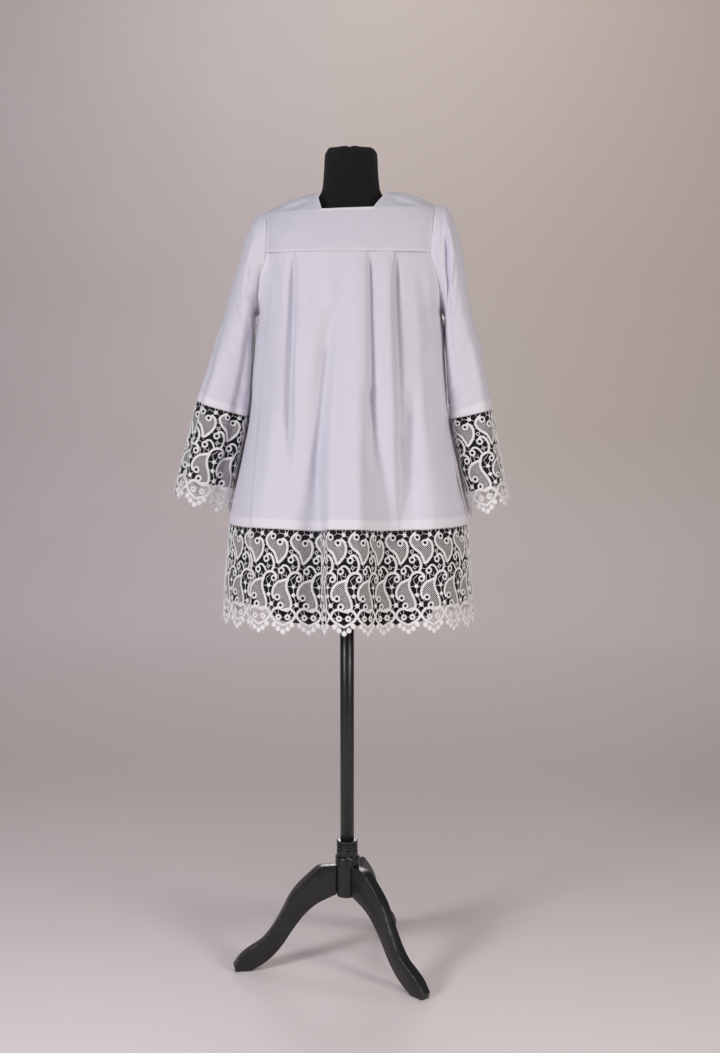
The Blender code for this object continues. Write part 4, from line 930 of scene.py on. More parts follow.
def plain_ring(side, angles, read, back):
    """A squared-off ring between a sleeve's outer and inner edges, and its centre."""
    outer = np.array([side * read["outer_x"], back, read["outer_z"]])
    inner = np.array([side * read["inner_x"], back, read["inner_z"]])
    centre = (outer + inner) / 2
    c, s = super_wave(np.radians(angles), read["power"])
    return centre + (outer - centre) * c[:, None] + np.array([0, -read["deep"], 0]) * s[:, None], centre


def sleeve_ring(side, down, bearings):
    """A section of a sleeve: plain_ring, drawn to the armhole's loop near the top, moved by sleeve_level."""
    table = SLEEVES[side]
    read = {name: float(column(table, SLEEVE_COLUMNS, name, down)) for name in SLEEVE_COLUMNS[1:]}
    angles = bearings if side < 0 else 180 - bearings
    points, centre = plain_ring(side, angles, read, read["back"])
    blend = 1 - float(ease(down / ARMHOLE_FADE))
    if blend:
        top, _ = plain_ring(side, angles, dict(zip(SLEEVE_COLUMNS, table[0])), 0)
        points += (armhole(side, angles) - top) * blend
    away = points - centre
    away /= np.linalg.norm(away, axis=1)[:, None]
    return points + away * sleeve_level(side, down, bearings)[:, None] * MM


def make_sleeve(side, finish):
    """A wide sleeve, doubled above its lace."""
    rows, columns = SLEEVE_GRID
    bearings = np.linspace(0, 360, columns, endpoint=False)
    downs = np.linspace(0, 1, rows) ** SLEEVE_ROWS
    grid = np.stack([sleeve_ring(side, down, bearings) for down in downs])
    grid[..., 0] += side * SEAM_GAP * (1 - ease(downs / ARMHOLE_GAP_FADE))[:, None]
    cuff = step_up(1 - downs, CUFF_BAND, SLEEVE_BAND_SOFT)[:, None] * np.ones(columns)
    seam = step_up(downs, ARMHOLE_BAND, SLEEVE_BAND_SOFT)[:, None] * SEAM_MARK
    grid = grid + normals_of(grid, True) * (cuff * BAND_RISE)[..., None]
    word = SIDES[side]
    shell(f"wide_sleeve_{word}", grid, CLOTH_THICK, finish, f"sleeve_{word}",
          closed=True, doubled=np.maximum(cuff, seam))
    row = int(np.argmin(np.abs(1 - downs - CUFF_BAND))) + 1
    return [sewn(np.concatenate([grid, grid[:, :1]], axis=1), row)]


# ================================================================ lace
def ring_of(x, y, radius, angles):
    """Points round a centre, x + radius cos and y + radius sin."""
    return np.stack([x + radius * np.cos(angles), y + radius * np.sin(angles)], axis=1)


def raised_ring(x, y, radius, angles, z):
    """ring_of at a height."""
    return np.insert(ring_of(x, y, radius, angles), 2, z, axis=1)


def cord(line, wide, tall, sides=CORD_SIDES, closed=False):
    """An oval section, wide/2 cos and tall/2 sin, carried along a flat line and narrowed at its ends."""
    ahead = np.gradient(line, axis=0)
    if closed:
        ahead = (np.roll(line, -1, axis=0) - np.roll(line, 1, axis=0)) / 2
    ahead /= np.linalg.norm(ahead, axis=1)[:, None]
    beside = np.stack([-ahead[:, 1], ahead[:, 0]], axis=1)
    lying = math.pi / 6 if sides == THREAD_SIDES else 0  # turns a triangle to lie on one side
    turn = np.linspace(0, FULL_TURN, sides, endpoint=False) + lying
    width = np.full(len(line), wide / 2)
    if not closed:
        width[[0, -1]] *= CORD_TIP
    across = width[:, None] * np.cos(turn)
    flat = line[:, None] + beside[:, None] * across[..., None]
    height = np.broadcast_to(tall / 2 * np.sin(turn), across.shape)
    return loft(np.concatenate([flat, height[..., None]], axis=2), closed)


def flat_points(points):
    """Chart points with y turned upwards, so that right, up and out are a right-handed set."""
    return np.array(points, float) * np.array([1.0, -1.0])


def straight(a, b, step):
    """Points from a to b, no more than about `step` apart."""
    count = max(2, int(math.ceil(math.dist(a, b) / step)) + 1)
    return np.linspace(np.asarray(a, float), np.asarray(b, float), count)


def net_threads(outline, degrees):
    """Parallel threads across an outline: its crossings with level lines in a frame turned by the angle."""
    a = math.radians(degrees)
    turned = outline @ np.array([[math.cos(a), -math.sin(a)], [math.sin(a), math.cos(a)]])
    back = np.array([[math.cos(a), math.sin(a)], [-math.sin(a), math.cos(a)]])
    x, y = turned.T
    x2, y2 = np.roll(x, -1), np.roll(y, -1)
    threads = []
    for level in np.arange(y.min() + NET_PITCH / 2, y.max(), NET_PITCH):
        cross = (y > level) != (y2 > level)
        at = np.sort(x[cross] + (level - y[cross]) / (y2[cross] - y[cross]) * (x2[cross] - x[cross]))
        spans = [(p, q) for p, q in zip(at[::2], at[1::2]) if q - p > THREAD]
        threads += [np.array([[p, level], [q, level]]) @ back for p, q in spans]
    return threads


def net_outline(down, up, rings):
    """The outline of a net: along the two sides of a leaf and round two of its rings."""
    lines = [rounded_line(flat_points(side), NET_SIDE_POINTS) for side in (down, up)]
    for x, y, radius, start, end in rings:
        turn = np.radians(np.linspace(start, end, NET_RING_POINTS))
        lines.append(flat_points(ring_of(x, y, radius, turn)))
    return np.concatenate(lines)


def make_repeat():
    """One repeat of the lace, flat, in millimetres: corded outlines, rings, balls, bars and nets."""
    parts = []
    for _, wide, points in CORDS:
        line = flat_points(points)
        count = max(4, int(along(line)[-1] / CORD_STEP))
        parts.append(cord(rounded_line(line, count), wide, CORD_TALL))
    for x, y, outer, hole in RINGS:
        count = LARGE_RING_POINTS if outer > LARGE_RING else SMALL_RING_POINTS
        around = ring_of(x, -y, (outer + hole) / 2, np.linspace(0, FULL_TURN, count, endpoint=False))
        parts.append(cord(around, outer - hole, CORD_TALL * RING_TALL, closed=True))
    turn = np.linspace(0, FULL_TURN, BALL_SIDES, endpoint=False)
    for x, y, radius in BALLS:
        rings = [raised_ring(x, -y, radius * part, turn, height) for part, height in BALL_RINGS]
        parts.append(loft(np.stack(rings)))
    for x1, y1, x2, y2 in BARS:
        parts.append(cord(straight((x1, -y1), (x2, -y2), BAR_STEP), BAR, BAR, BAR_SIDES))
    left, right = CHART_LEFT - HEADING["past"], CHART_LEFT + CHART_WIDE + HEADING["past"]
    edge = straight((left, -HEADING["y"]), (right, -HEADING["y"]), HEADING_STEP)
    parts.append(cord(edge, HEADING["wide"], BAR, BAR_SIDES))
    for net in NETS:
        outline = net_outline(*net)
        for degrees in NET_ANGLES:
            parts += [
                cord(straight(a, b, THREAD_STEP), THREAD, THREAD_TALL, THREAD_SIDES)
                for a, b in net_threads(outline, degrees)
            ]
    return gather(parts)


def lay_lace(name, repeat, first, count, total, ring, finish, node):
    """Repeats side by side on a ring sheet: x and y become a place on it, height is along its normal."""
    points, groups, places = repeat
    grid, normal = ring
    copies = np.arange(count)[:, None]
    u = (first + copies + (points[None, :, 0] - CHART_LEFT) / CHART_WIDE) % total / total
    v = np.broadcast_to(-points[None, :, 1] / CHART_TALL, u.shape)
    height = np.broadcast_to((points[None, :, 2] - LACE_BACK) * MM, u.shape).reshape(-1, 1)
    at = read_grid(grid, u.ravel(), v.ravel())
    lean = read_grid(normal, u.ravel(), v.ravel())
    laid = at + lean / np.linalg.norm(lean, axis=1)[:, None] * height
    faces = [(group[None] + copies[:, :, None] * len(points)).reshape(-1, group.shape[1]) for group in groups]
    uv = [np.tile(part, (count, 1, 1)) * MM for part in places]
    mesh_piece(name, laid, faces, uv, finish, [node])


def hem_sheet(face, rows, columns, tall):
    """The body's own curves below the hem, evenly divided."""
    heights = HEM_Z - SEAM_GAP - np.linspace(0, tall, rows)
    parts = np.linspace(SIDE_TRIM, 1 - SIDE_TRIM, columns)
    return np.stack([resample(body_curve(face, z), parts) for z in heights])


def cuff_sheet(side, rows, columns):
    """A sleeve's own sections below its seam, evenly divided, once round."""
    bearings = np.linspace(0, 360, columns)
    parts = np.linspace(0, 1, columns)
    downs = np.linspace(1, CUFF_TIP, rows)
    sheet = np.stack([resample(sleeve_ring(side, down, bearings), parts) for down in downs])
    sheet[:, :, 2] -= SEAM_GAP
    return sheet[:, :-1]


def closed_ring(grid):
    """A ring sheet and its normals, with the first column again at the end."""
    normal = normals_of(grid, True)
    return tuple(np.concatenate([part, part[:, :1]], axis=1) for part in (grid, normal))


def make_hem(repeat, lace, lining):
    """The lace of the hem on both panels, and the black lining behind each."""
    ring = closed_ring(np.concatenate([hem_sheet(face, *HEM_GRID, LACE_TALL) for face in FACES], axis=1))
    for order, (face, word) in enumerate(FACES.items()):
        lay_lace(f"lace_hem_{word}", repeat, order * HEM_REPEATS, HEM_REPEATS, 2 * HEM_REPEATS, ring, lace,
                 f"hem_lace_{word}")
        sheet = hem_sheet(face, *HEM_LINING_GRID, LINING_TALL)
        behind = sheet - normals_of(sheet) * LINING_BEHIND
        behind[:, (0, -1), 1] = face * 2 * SEAM_GAP
        shell(f"lining_hem_{word}", behind, LINING_THICK, lining, f"hem_lining_{word}")


def make_cuff(side, repeat, lace, lining):
    """The lace of a cuff in a front and a back half, and the black lining behind it."""
    word = SIDES[side]
    sheet = cuff_sheet(side, *CUFF_GRID)
    ring = closed_ring(sheet)
    total = sum(CUFF_REPEATS.values())
    first = total / 4 - CUFF_REPEATS["front"] / 2
    for half, count in CUFF_REPEATS.items():
        lay_lace(f"lace_cuff_{word}_{half}", repeat, first, count, total, ring, lace,
                 f"cuff_lace_{word}_{half}")
        first += count
    tall = int(round(len(sheet) * LINING_TALL / LACE_TALL))
    behind = (sheet - normals_of(sheet, True) * LINING_BEHIND)[:tall, ::CUFF_LINING_STEP]
    shell(f"lining_cuff_{word}", behind, LINING_THICK, lining, f"cuff_lining_{word}",
          closed=True)


# ================================================================ dress form and stand
def stacked(name, rings, finish, node, marks=None):
    """A solid through level rings of points from the lowest up, closed by flat ends."""
    points, quads, uv, caps, cap_uv = loft(rings)
    middle = rings[len(rings) // 2]
    around = float(along(np.concatenate([middle, middle[:1]]))[-1])
    uv = np.stack([uv[..., 1] * around, uv[..., 0]], axis=-1)
    marks = {word: np.repeat(values, rings.shape[1]) for word, values in (marks or {}).items()}
    mesh_piece(name, points, [quads, caps], [uv, cap_uv], finish, [node], marks)


def make_form(finish):
    """Torso and neck: squared-off rings read from FORM, with the cover gathered at the neck's top."""
    foot_rows, rows, sides = FORM_GRID
    foot_z, body_z, top_z = FORM[0][0], FORM[1][0], FORM[-1][0]
    heights = np.concatenate([np.linspace(foot_z, body_z, foot_rows)[:-1], np.linspace(body_z, top_z, rows)])
    angle = np.linspace(0, FULL_TURN, sides, endpoint=False)
    ripple = sum(size * np.sin(waves * angle + phase) for waves, size, phase in GATHERS)
    rings = []
    for z in heights:
        read = {name: float(column(FORM, FORM_COLUMNS, name, z)) for name in FORM_COLUMNS[1:]}
        c, s = super_wave(angle, read["power"])
        y = np.where(s < 0, read["front"], read["back"]) * s
        swell = 1 + float(ease((z - GATHER_START_Z) / (top_z - GATHER_START_Z))) * GATHER_DEEP * ripple
        rings.append(np.stack([FORM_X + read["wide"] * c * swell, y * swell, np.full(sides, z)], axis=1))
    last = rings[-1]
    centre = last.mean(axis=0)
    last[:, 2] += RIM_RISE * ripple
    for part, rise in TOP_RINGS:
        ring = centre + (last - centre) * part
        ring[:, 2] = top_z + rise + RIM_RISE * ripple * part
        rings.append(ring)
    stacked("covered_form", np.stack(rings), finish, "form")


def turned(name, profile, angles, finish, node, wear_and_highlight=None):
    """A solid of the rings of a profile (radius, height) on the pole's axis."""
    rings = np.stack([raised_ring(POLE_X, 0.0, radius, angles, z) for radius, z in profile])
    # a mark of rubbed wear and painted highlight for each ring of the profile
    marks = {"wear_and_highlight": np.zeros(len(profile)) if wear_and_highlight is None else np.array(wear_and_highlight, float)}
    stacked(name, rings, finish, node, marks)


def leg_outline():
    """A leg's upper outline and back along its lower one, with a flat foot, and the normals that point in."""
    top = smooth_line(LEG_TOP, LEG_POINTS)
    under = smooth_line(LEG_UNDER[:-1], LEG_POINTS + 1 - FOOT_POINTS)
    under = np.concatenate([under, np.linspace(under[-1], LEG_UNDER[-1], FOOT_POINTS)[1:]])
    outline = np.concatenate([top, under[::-1]])
    ahead = np.roll(outline, -1, axis=0) - np.roll(outline, 1, axis=0)
    inward = np.stack([ahead[:, 1], -ahead[:, 0]], axis=1) / np.linalg.norm(ahead, axis=1)[:, None]
    middle = LEG_POINTS // 2
    return outline, inward * np.sign(inward[middle] @ (under[middle] - top[middle]))


def make_leg(name, degrees, finish):
    """A leg: strips between its upper and lower outlines, carried across its thickness with rounded edges."""
    half = LEG_THICK / 2
    flat = math.sqrt(HUB_RADIUS**2 - half**2) + SEAM_GAP
    outline, inward = leg_outline()
    sections = [(-half, 1.0), (-half + BEVEL_STEP * LEG_BEVEL, BEVEL_STEP), (-half + LEG_BEVEL, 0.0)]
    sections += [(-place, inset) for place, inset in sections[::-1]]
    a = math.radians(degrees)
    out, side, up = np.array([[math.cos(a), math.sin(a), 0], [-math.sin(a), math.cos(a), 0], [0, 0, 1]])
    rows = []
    for place, inset in sections:
        line = np.maximum(outline + inward * inset * LEG_BEVEL * BEVEL_INSET, (flat, 0.0))
        rows.append(np.array([POLE_X, 0, 0]) + out * line[:, :1] + side * place + up * line[:, 1:])
    points, quads, uv, _, _ = loft(np.stack(rows))
    around = len(outline)
    strip = np.arange(LEG_POINTS - 1)
    near = np.stack([strip, strip + 1, around - 2 - strip, around - 1 - strip], axis=1)
    far = near[:, ::-1] + around * (len(rows) - 1)
    corner = points[near[LEG_POINTS // 2]]
    if np.cross(corner[1] - corner[0], corner[2] - corner[0]) @ side > 0:
        near, far = near[:, ::-1], far[:, ::-1]
    # rubbed wear and painted highlight along the rounded edges
    wear_and_highlight = np.repeat(LEG_WEAR_AND_HIGHLIGHT + LEG_WEAR_AND_HIGHLIGHT[::-1], around)
    toe = ease((np.tile(outline[:, 0], len(rows)) - TOE_START) / TOE_LONG)
    mesh_piece(f"painted_{name}", points, [quads, near, far], [uv, np.zeros((2 * len(near), 4, 2))], finish,
               [name], {"wear_and_highlight": wear_and_highlight, "toe": toe})


def make_stand(finish):
    """Pole, ribbed collar, hub and three legs."""
    evenly = np.linspace(0, FULL_TURN, TURNED_POINTS, endpoint=False)
    top, soft = FORM[0][0] - SEAM_GAP, TURNED_SOFT
    turned("painted_pole", (
        (POLE_RADIUS - soft, POLE_FOOT_Z), (POLE_RADIUS, POLE_FOOT_Z + soft), (POLE_RADIUS, POLE_MID_Z),
        (POLE_RADIUS, top - soft), (POLE_RADIUS - soft, top),
    ), evenly, finish, "pole")
    groove, rib = COLLAR_RADII
    profile = []
    for low, high in COLLAR_RIBS:
        profile += [(groove, low), (rib - soft, low + soft / 2), (rib, low + 2 * soft)]
        profile += [(rib, high - 2 * soft), (rib - soft, high - soft / 2), (groove, high)]
    turned("painted_collar", profile, evenly, finish, "collar", RIB_WEAR_AND_HIGHLIGHT * len(COLLAR_RIBS))
    reach = math.asin(LEG_THICK / 2 / HUB_RADIUS)
    legs = np.radians(list(LEG_ANGLES.values()))
    gaps = np.diff(legs, append=legs[0] + FULL_TURN)
    stretches = [np.linspace(leg + reach, leg + gap - reach, HUB_POINTS) for leg, gap in zip(legs, gaps)]
    turned("painted_hub", HUB_PROFILE, np.concatenate(stretches), finish, "hub", HUB_WEAR_AND_HIGHLIGHT)
    for name, degrees in LEG_ANGLES.items():
        make_leg(name, degrees, finish)


# ================================================================ materials
def add_node(tree, kind, **settings):
    """A node of a tree with its plain settings, placed after the last one, in rows of NODES_ACROSS."""
    row, place = divmod(len(tree.nodes), NODES_ACROSS)
    node = tree.nodes.new(kind)
    node.location = (place * NODE_WIDE, -row * NODE_TALL)
    for key, value in settings.items():
        setattr(node, key, value)
    return node


def feed(tree, socket, value):
    """Links an output to a socket, or sets the socket to a number or a colour."""
    if hasattr(value, "is_output"):
        tree.links.new(value, socket)
    elif isinstance(value, tuple) and len(value) == 3:
        socket.default_value = (*value, 1.0)
    else:
        socket.default_value = value


def maths(tree, operation, *values):
    """A Math node of one or two inputs, each a socket or a number; it gives back its result."""
    node = add_node(tree, "ShaderNodeMath", operation=operation)
    for socket, value in zip(node.inputs, values):
        feed(tree, socket, value)
    return node.outputs[0]


def blend_of(tree, factor, a, b):
    """A colour mixed from a to b, each a socket or a colour."""
    node = add_node(tree, "ShaderNodeMix", data_type="RGBA")
    for order, value in ((0, factor), (6, a), (7, b)):
        feed(tree, node.inputs[order], value)
    return node.outputs[2]


def split_of(tree, vector):
    """The three parts of a vector."""
    node = add_node(tree, "ShaderNodeSeparateXYZ")
    feed(tree, node.inputs[0], vector)
    return node.outputs


def noise(tree, vector, scale, detail, roughness=0.5):
    """A Noise Texture's value on a vector."""
    node = add_node(tree, "ShaderNodeTexNoise")
    for word, value in (("Vector", vector), ("Scale", scale), ("Detail", detail), ("Roughness", roughness)):
        feed(tree, node.inputs[word], value)
    return node.outputs["Fac"]


def ranged(tree, value, low=0.0, high=1.0, to_low=0.0, to_high=1.0):
    """A value carried from one range to another, and held at its ends."""
    node = add_node(tree, "ShaderNodeMapRange", clamp=True)
    for socket, given in zip(node.inputs, (value, low, high, to_low, to_high)):
        feed(tree, socket, given)
    return node.outputs[0]


def uv_place(tree):
    """The piece's own UV, in metres along its cloth."""
    return add_node(tree, "ShaderNodeUVMap", uv_map="cloth").outputs[0]


def object_place(tree):
    """Object coordinates."""
    return add_node(tree, "ShaderNodeTexCoord").outputs["Object"]


def mark_of(tree, word):
    """One of the piece's own marks."""
    return add_node(tree, "ShaderNodeAttribute", attribute_name=word).outputs["Fac"]


def new_group(name, output, inputs):
    """A shader node group with a vector and named numbers as inputs, {name: value}, and one output."""
    group = bpy.data.node_groups.new(name, "ShaderNodeTree")
    group.interface.new_socket("Vector", in_out="INPUT", socket_type="NodeSocketVector")
    for word, value in inputs.items():
        group.interface.new_socket(word, in_out="INPUT", socket_type="NodeSocketFloat").default_value = value
    group.interface.new_socket(output, in_out="OUTPUT", socket_type="NodeSocketFloat")
    return group, add_node(group, "NodeGroupInput").outputs, add_node(group, "NodeGroupOutput").inputs[0]


def weave_group():
    """Plain weave: warp and weft are sines across and along the cloth, whose product is over and under."""
    group, given, result = new_group("plain_weave", "Height", {"Threads": CLOTH_THREADS})
    across, down, _ = split_of(group, given["Vector"])
    runs = [maths(group, "MULTIPLY", axis, given["Threads"]) for axis in (across, down)]
    warp, weft = (maths(group, "SINE", maths(group, "MULTIPLY", run, math.pi)) for run in runs)
    ribs = maths(group, "MULTIPLY", maths(group, "ABSOLUTE", warp), 0.5)
    feed(group, result, maths(group, "ADD", maths(group, "MULTIPLY", warp, weft), ribs))
    return group


def knit_group():
    """Jersey: wales of V stitches, the height a sine along the wale whose phase slopes to each side of it."""
    group, given, result = new_group("jersey_knit", "Height", {"Wales": WALES})
    across, down, _ = split_of(group, given["Vector"])
    wale = maths(group, "FRACT", maths(group, "MULTIPLY", across, given["Wales"]))
    part = maths(group, "ABSOLUTE", maths(group, "SUBTRACT", wale, 0.5))
    course = maths(group, "MULTIPLY", maths(group, "MULTIPLY", down, given["Wales"]), COURSES)
    phase = maths(group, "ADD", course, maths(group, "MULTIPLY", part, LEAN))
    loop = maths(group, "SINE", maths(group, "MULTIPLY", phase, FULL_TURN))
    feed(group, result, maths(group, "ADD", loop, maths(group, "MULTIPLY", part, VALLEY)))
    return group


def wear_and_highlight_group():
    """Edges: the piece's own mark of rubbed wear and painted highlight, broken up by noise, as a mask."""
    group, given, result = new_group("edge_wear_and_highlight", "Mask", {"Wear": 0.0, "Scale": 90.0, "Cut": 0.62})
    speck = noise(group, given["Vector"], given["Scale"], WEAR_DETAIL)
    raised = maths(group, "MULTIPLY", speck, given["Wear"])
    over = maths(group, "SUBTRACT", raised, maths(group, "MULTIPLY", given["Cut"], WEAR_CUT))
    feed(group, result, ranged(group, over, 0.0, WEAR_SOFT))
    return group


def placed(tree, name, make, **values):
    """A group's node in a material, its group made the first time, with its own values or links."""
    group = bpy.data.node_groups.get(name) or make()
    node = add_node(tree, "ShaderNodeGroup", node_tree=group)
    for word, value in values.items():
        feed(tree, node.inputs[word], value)
    return node.outputs[0]


def new_finish(name, **constants):
    """A material with a Principled BSDF, its numbers set on the shader's own sockets, and those sockets."""
    finish = bpy.data.materials.new(name)
    finish.use_nodes = True
    tree = finish.node_tree
    shader = tree.nodes["Principled BSDF"]
    for word, value in constants.items():
        feed(tree, shader.inputs[word.replace("_", " ")], value)
    return finish, tree, shader.inputs


def bump(tree, inputs, height, strength, distance, base=None):
    """A Bump node before the shader's normal, its distance in metres; base is the normal of a finer one."""
    node = add_node(tree, "ShaderNodeBump")
    for word, value in (("Strength", strength), ("Distance", distance), ("Height", height)):
        feed(tree, node.inputs[word], value)
    if base is not None:
        feed(tree, node.inputs["Normal"], base)
    feed(tree, inputs["Normal"], node.outputs[0])
    return node.outputs[0]


def cloth_finish():
    """White polyester: a fine plain weave with a soft sheen, brighter where double, darker on the form with
    show-through and painted shade.
    """
    finish, tree, inputs = new_finish(
        "white polyester cloth", Base_Color=CLOTH_SINGLE, Roughness=0.52, Sheen_Weight=0.08,
        Sheen_Roughness=0.35, Sheen_Tint=CLOTH_SHEEN, Specular_IOR_Level=0.35,
    )
    place, body = uv_place(tree), object_place(tree)
    cloudy = ranged(tree, noise(tree, body, scale=7.0, detail=2.0), low=0.35, high=0.65)
    slub = ranged(tree, noise(tree, place, scale=900.0, detail=2.0), low=0.3, high=0.7)
    tone = blend_of(tree, cloudy, CLOTH_SINGLE, CLOTH_COOL)
    tone = blend_of(tree, maths(tree, "MULTIPLY", slub, SLUB_SHOWS), tone, CLOTH_SLUB)
    # darker where the cloth lies on the form: partly show-through, partly painted shade
    tone = blend_of(tree, mark_of(tree, "close_shade"), tone, CLOTH_CLOSE_SHADED)
    doubled = maths(tree, "MULTIPLY", mark_of(tree, "doubled"), DOUBLE_SHOWS)
    tone = blend_of(tree, doubled, tone, CLOTH_DOUBLE)
    feed(tree, inputs["Base Color"], tone)
    feed(tree, inputs["Roughness"], ranged(tree, cloudy, to_low=0.48, to_high=0.58))
    weave = placed(tree, "plain_weave", weave_group, Vector=place, Threads=CLOTH_THREADS)
    fine = bump(tree, inputs, weave, strength=0.25, distance=0.00012)
    rumple = noise(tree, body, scale=46.0, detail=4.0, roughness=0.55)
    bump(tree, inputs, rumple, strength=0.12, distance=0.0022, base=fine)
    return finish


def lace_finish():
    """White guipure thread: matt, its satin stitches lying across each cord."""
    finish, tree, inputs = new_finish(
        "white lace thread", Base_Color=LACE_WHITE, Roughness=0.78, Sheen_Weight=0.2, Sheen_Roughness=0.5,
        Specular_IOR_Level=0.3,
    )
    run = maths(tree, "MULTIPLY", split_of(tree, uv_place(tree))[0], FULL_TURN / SATIN_PITCH)
    wobble = maths(tree, "MULTIPLY", noise(tree, object_place(tree), scale=400.0, detail=2.0), WOBBLE)
    satin = maths(tree, "SINE", maths(tree, "ADD", run, wobble))
    shade = ranged(tree, satin, low=-1.0, to_high=0.35)
    feed(tree, inputs["Base Color"], blend_of(tree, shade, LACE_WHITE, LACE_CREAM))
    bump(tree, inputs, satin, strength=0.35, distance=0.0003)
    return finish


def lining_finish():
    """Black lining: matt, closely woven."""
    finish, tree, inputs = new_finish(
        "black lining cloth", Base_Color=LINING_BLACK, Roughness=0.85, Sheen_Weight=0.08,
        Sheen_Roughness=0.5, Specular_IOR_Level=0.25,
    )
    place = uv_place(tree)
    tone = ranged(tree, noise(tree, place, scale=60.0, detail=3.0), low=0.3, high=0.7)
    feed(tree, inputs["Base Color"], blend_of(tree, tone, LINING_DARK, LINING_PALE))
    weave = placed(tree, "plain_weave", weave_group, Vector=place, Threads=LINING_THREADS)
    bump(tree, inputs, weave, strength=0.3, distance=0.00015)
    return finish


def jersey_finish():
    """Black knitted cover: matt, with a faint bloom of loose fibres."""
    finish, tree, inputs = new_finish(
        "black jersey knit", Base_Color=JERSEY_BLACK, Roughness=0.92, Sheen_Weight=0.10,
        Sheen_Roughness=0.6, Sheen_Tint=JERSEY_SHEEN, Specular_IOR_Level=0.15,
    )
    body = object_place(tree)
    fluff = ranged(tree, noise(tree, body, scale=160.0, detail=5.0, roughness=0.6), low=0.45, high=0.75)
    feed(tree, inputs["Base Color"], blend_of(tree, fluff, JERSEY_DARK, JERSEY_FLUFF))
    feed(tree, inputs["Roughness"], ranged(tree, fluff, to_low=0.86, to_high=0.97))
    knit = placed(tree, "jersey_knit", knit_group, Vector=uv_place(tree), Wales=WALES)
    fine = bump(tree, inputs, knit, strength=0.4, distance=0.0003)
    bump(tree, inputs, noise(tree, body, scale=34.0, detail=3.0), strength=0.25, distance=0.002, base=fine)
    return finish


def paint_finish():
    """Satin black paint on wood: faint brush streaks, edges rubbed to grey with a painted highlight, chips of
    wood at the toes.
    """
    finish, tree, inputs = new_finish(
        "black satin paint", Base_Color=PAINT_BLACK, Roughness=0.34, Coat_Weight=0.12, Coat_Roughness=0.25,
    )
    body, worn_and_highlit = object_place(tree), mark_of(tree, "wear_and_highlight")
    streaks = add_node(tree, "ShaderNodeMapping")
    feed(tree, streaks.inputs["Vector"], body)
    streaks.inputs["Scale"].default_value = STREAK_SCALE
    brushed = noise(tree, streaks.outputs[0], scale=6.0, detail=4.0)
    dusty = ranged(tree, noise(tree, body, scale=38.0, detail=5.0, roughness=0.6), low=0.48, high=0.72)
    rubbed_and_highlit = placed(tree, "edge_wear_and_highlight", wear_and_highlight_group, Vector=body, Wear=worn_and_highlit, Scale=110.0, Cut=0.66)
    toe_worn = maths(tree, "MULTIPLY", worn_and_highlit, mark_of(tree, "toe"))
    chipped = placed(tree, "edge_wear_and_highlight", wear_and_highlight_group, Vector=body, Wear=toe_worn, Scale=150.0, Cut=0.58)
    tone = blend_of(tree, dusty, PAINT_DARK, PAINT_DUSTY)
    # pale grey edges: rubbed paint, and a painted highlight along them
    tone = blend_of(tree, maths(tree, "MULTIPLY", rubbed_and_highlit, RUBBED_AND_HIGHLIT_SHOWS), tone, PAINT_RUBBED_AND_HIGHLIT)
    feed(tree, inputs["Base Color"], blend_of(tree, chipped, tone, BARE_WOOD))
    rough = ranged(tree, brushed, low=0.3, high=0.7, to_low=0.28, to_high=0.42)
    feed(tree, inputs["Roughness"], maths(tree, "ADD", rough, maths(tree, "MULTIPLY", rubbed_and_highlit, RUBBED_ROUGH)))
    bump(tree, inputs, brushed, strength=0.12, distance=0.0006)
    return finish


# ================================================================ studio
def backdrop_finish():
    """Pale paper: floor's colour to wall's with height, painted shadow on the floor behind, painted warm
    shade on the right.
    """
    finish, tree, inputs = new_finish(
        "backdrop paper", Base_Color=BACKDROP_PAPER, Roughness=0.9, Specular_IOR_Level=0.15,
    )
    place = object_place(tree)
    tone = ranged(tree, noise(tree, place, scale=1.3, detail=2.0), low=0.3, high=0.7)
    x, y, z = split_of(tree, place)
    # painted shadow on the floor behind
    behind = maths(tree, "MULTIPLY", ranged(tree, y, *BEHIND_NEAR), ranged(tree, y, *BEHIND_FAR))
    floor = blend_of(tree, behind, blend_of(tree, tone, FLOOR, FLOOR_SHADE), FLOOR_BEHIND_SHADOW)
    wall = blend_of(tree, tone, BACKDROP, BACKDROP_LOW)
    # painted warm shade towards the wall's right
    wall = blend_of(tree, ranged(tree, x, *RIGHT_STARTS), wall, BACKDROP_RIGHT_SHADE)
    feed(tree, inputs["Base Color"], blend_of(tree, ranged(tree, z, *WALL_STARTS), floor, wall))
    return finish


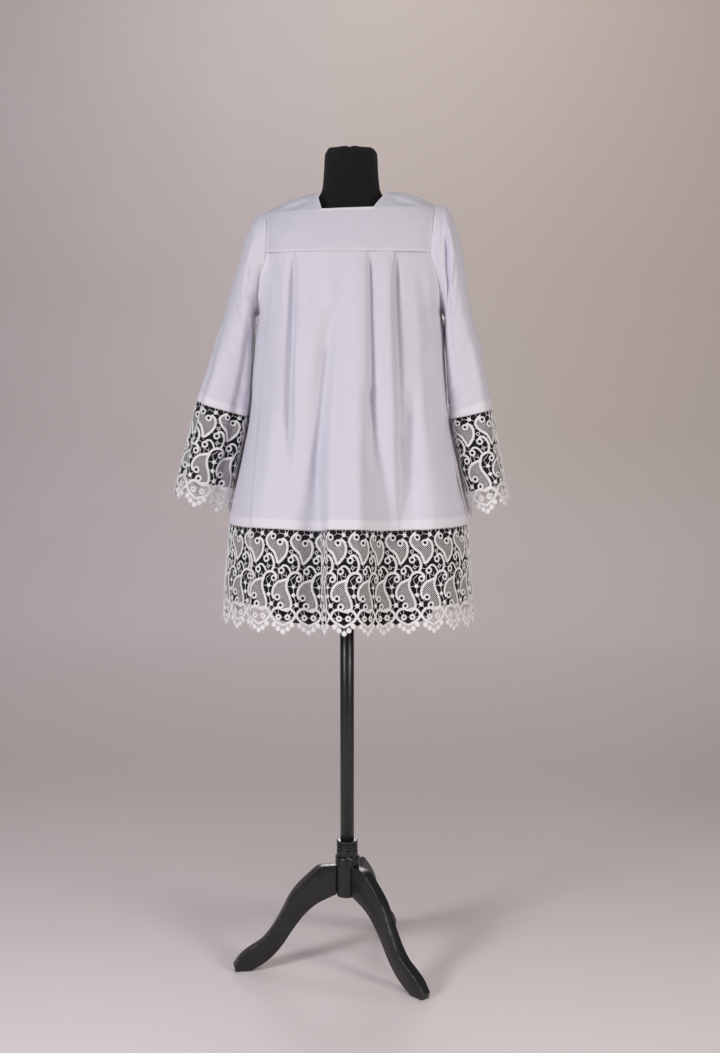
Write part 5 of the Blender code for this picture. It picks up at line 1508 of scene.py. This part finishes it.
def make_backdrop():
    """A seamless backdrop: a level floor that curves up into a wall, one profile carried across."""
    bend = np.linspace(0, math.pi / 2, BEND_POINTS)[1:]
    curve = [BACKDROP_FAR + BACKDROP_BEND * np.sin(bend), BACKDROP_LOWER + BACKDROP_BEND * (1 - np.cos(bend))]
    profile = np.concatenate([
        [[BACKDROP_NEAR, BACKDROP_LOWER], [BACKDROP_FAR, BACKDROP_LOWER]], np.stack(curve, axis=1),
        [[BACKDROP_FAR + BACKDROP_BEND, BACKDROP_TALL]],
    ])[::-1]
    rows, columns = len(profile), BACKDROP_COLUMNS
    across = np.tile(np.linspace(-BACKDROP_HALF, BACKDROP_HALF, columns), rows)
    points = np.column_stack([across, np.repeat(profile, columns, axis=0)])
    j, i = corners(rows, columns, False)
    new_object("backdrop", points, (j * columns + i).tolist(), backdrop_finish())


def make_lights():
    """The round lamps of LIGHTS, each turned from straight down towards its aim, and the world's light."""
    for name, at, aim, wide, power, colour, spread in LIGHTS:
        light = bpy.data.lights.new(name, "AREA")
        light.shape, light.size, light.energy, light.color = "DISK", wide, power, colour
        light.spread = math.radians(spread)
        lamp = bpy.data.objects.new(name, light)
        lamp.location = at
        lamp.visible_camera = False
        x, y, z = np.subtract(aim, at)
        lamp.rotation_euler = (math.atan2(math.hypot(x, y), -z), 0, math.atan2(-x, y))
        bpy.context.scene.collection.objects.link(lamp)
    world = bpy.data.worlds.new("studio")
    world.use_nodes = True
    sky = world.node_tree.nodes["Background"]
    sky.inputs["Color"].default_value = (*WORLD_COLOUR, 1.0)
    sky.inputs["Strength"].default_value = WORLD_LIGHT
    bpy.context.scene.world = world
    bpy.context.scene.view_settings.view_transform = "Standard"


def make_camera():
    """A camera that looks level along a heading, turned down a little."""
    data = bpy.data.cameras.new("camera")
    data.lens, data.sensor_width = LENS, SENSOR
    camera = bpy.data.objects.new("camera", data)
    camera.location = CAMERA_AT
    camera.rotation_euler = (math.radians(90 - CAMERA_DOWN), 0, math.radians(CAMERA_TURN))
    bpy.context.scene.collection.objects.link(camera)
    bpy.context.scene.camera = camera


# ================================================================ the whole
def main():
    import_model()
    cloth, lace, lining = cloth_finish(), lace_finish(), lining_finish()
    stitches = []
    for face in FACES:
        stitches += make_body(face, cloth)
        stitches += make_yoke(face, cloth)
    for side in SIDES:
        make_strap(side, cloth)
        stitches += make_sleeve(side, cloth)
    make_stitches("topstitching", stitches, cloth)
    repeat = make_repeat()
    make_hem(repeat, lace, lining)
    for side in SIDES:
        make_cuff(side, repeat, lace, lining)
    make_form(jersey_finish())
    make_stand(paint_finish())
    make_backdrop()
    make_lights()
    make_camera()


main()
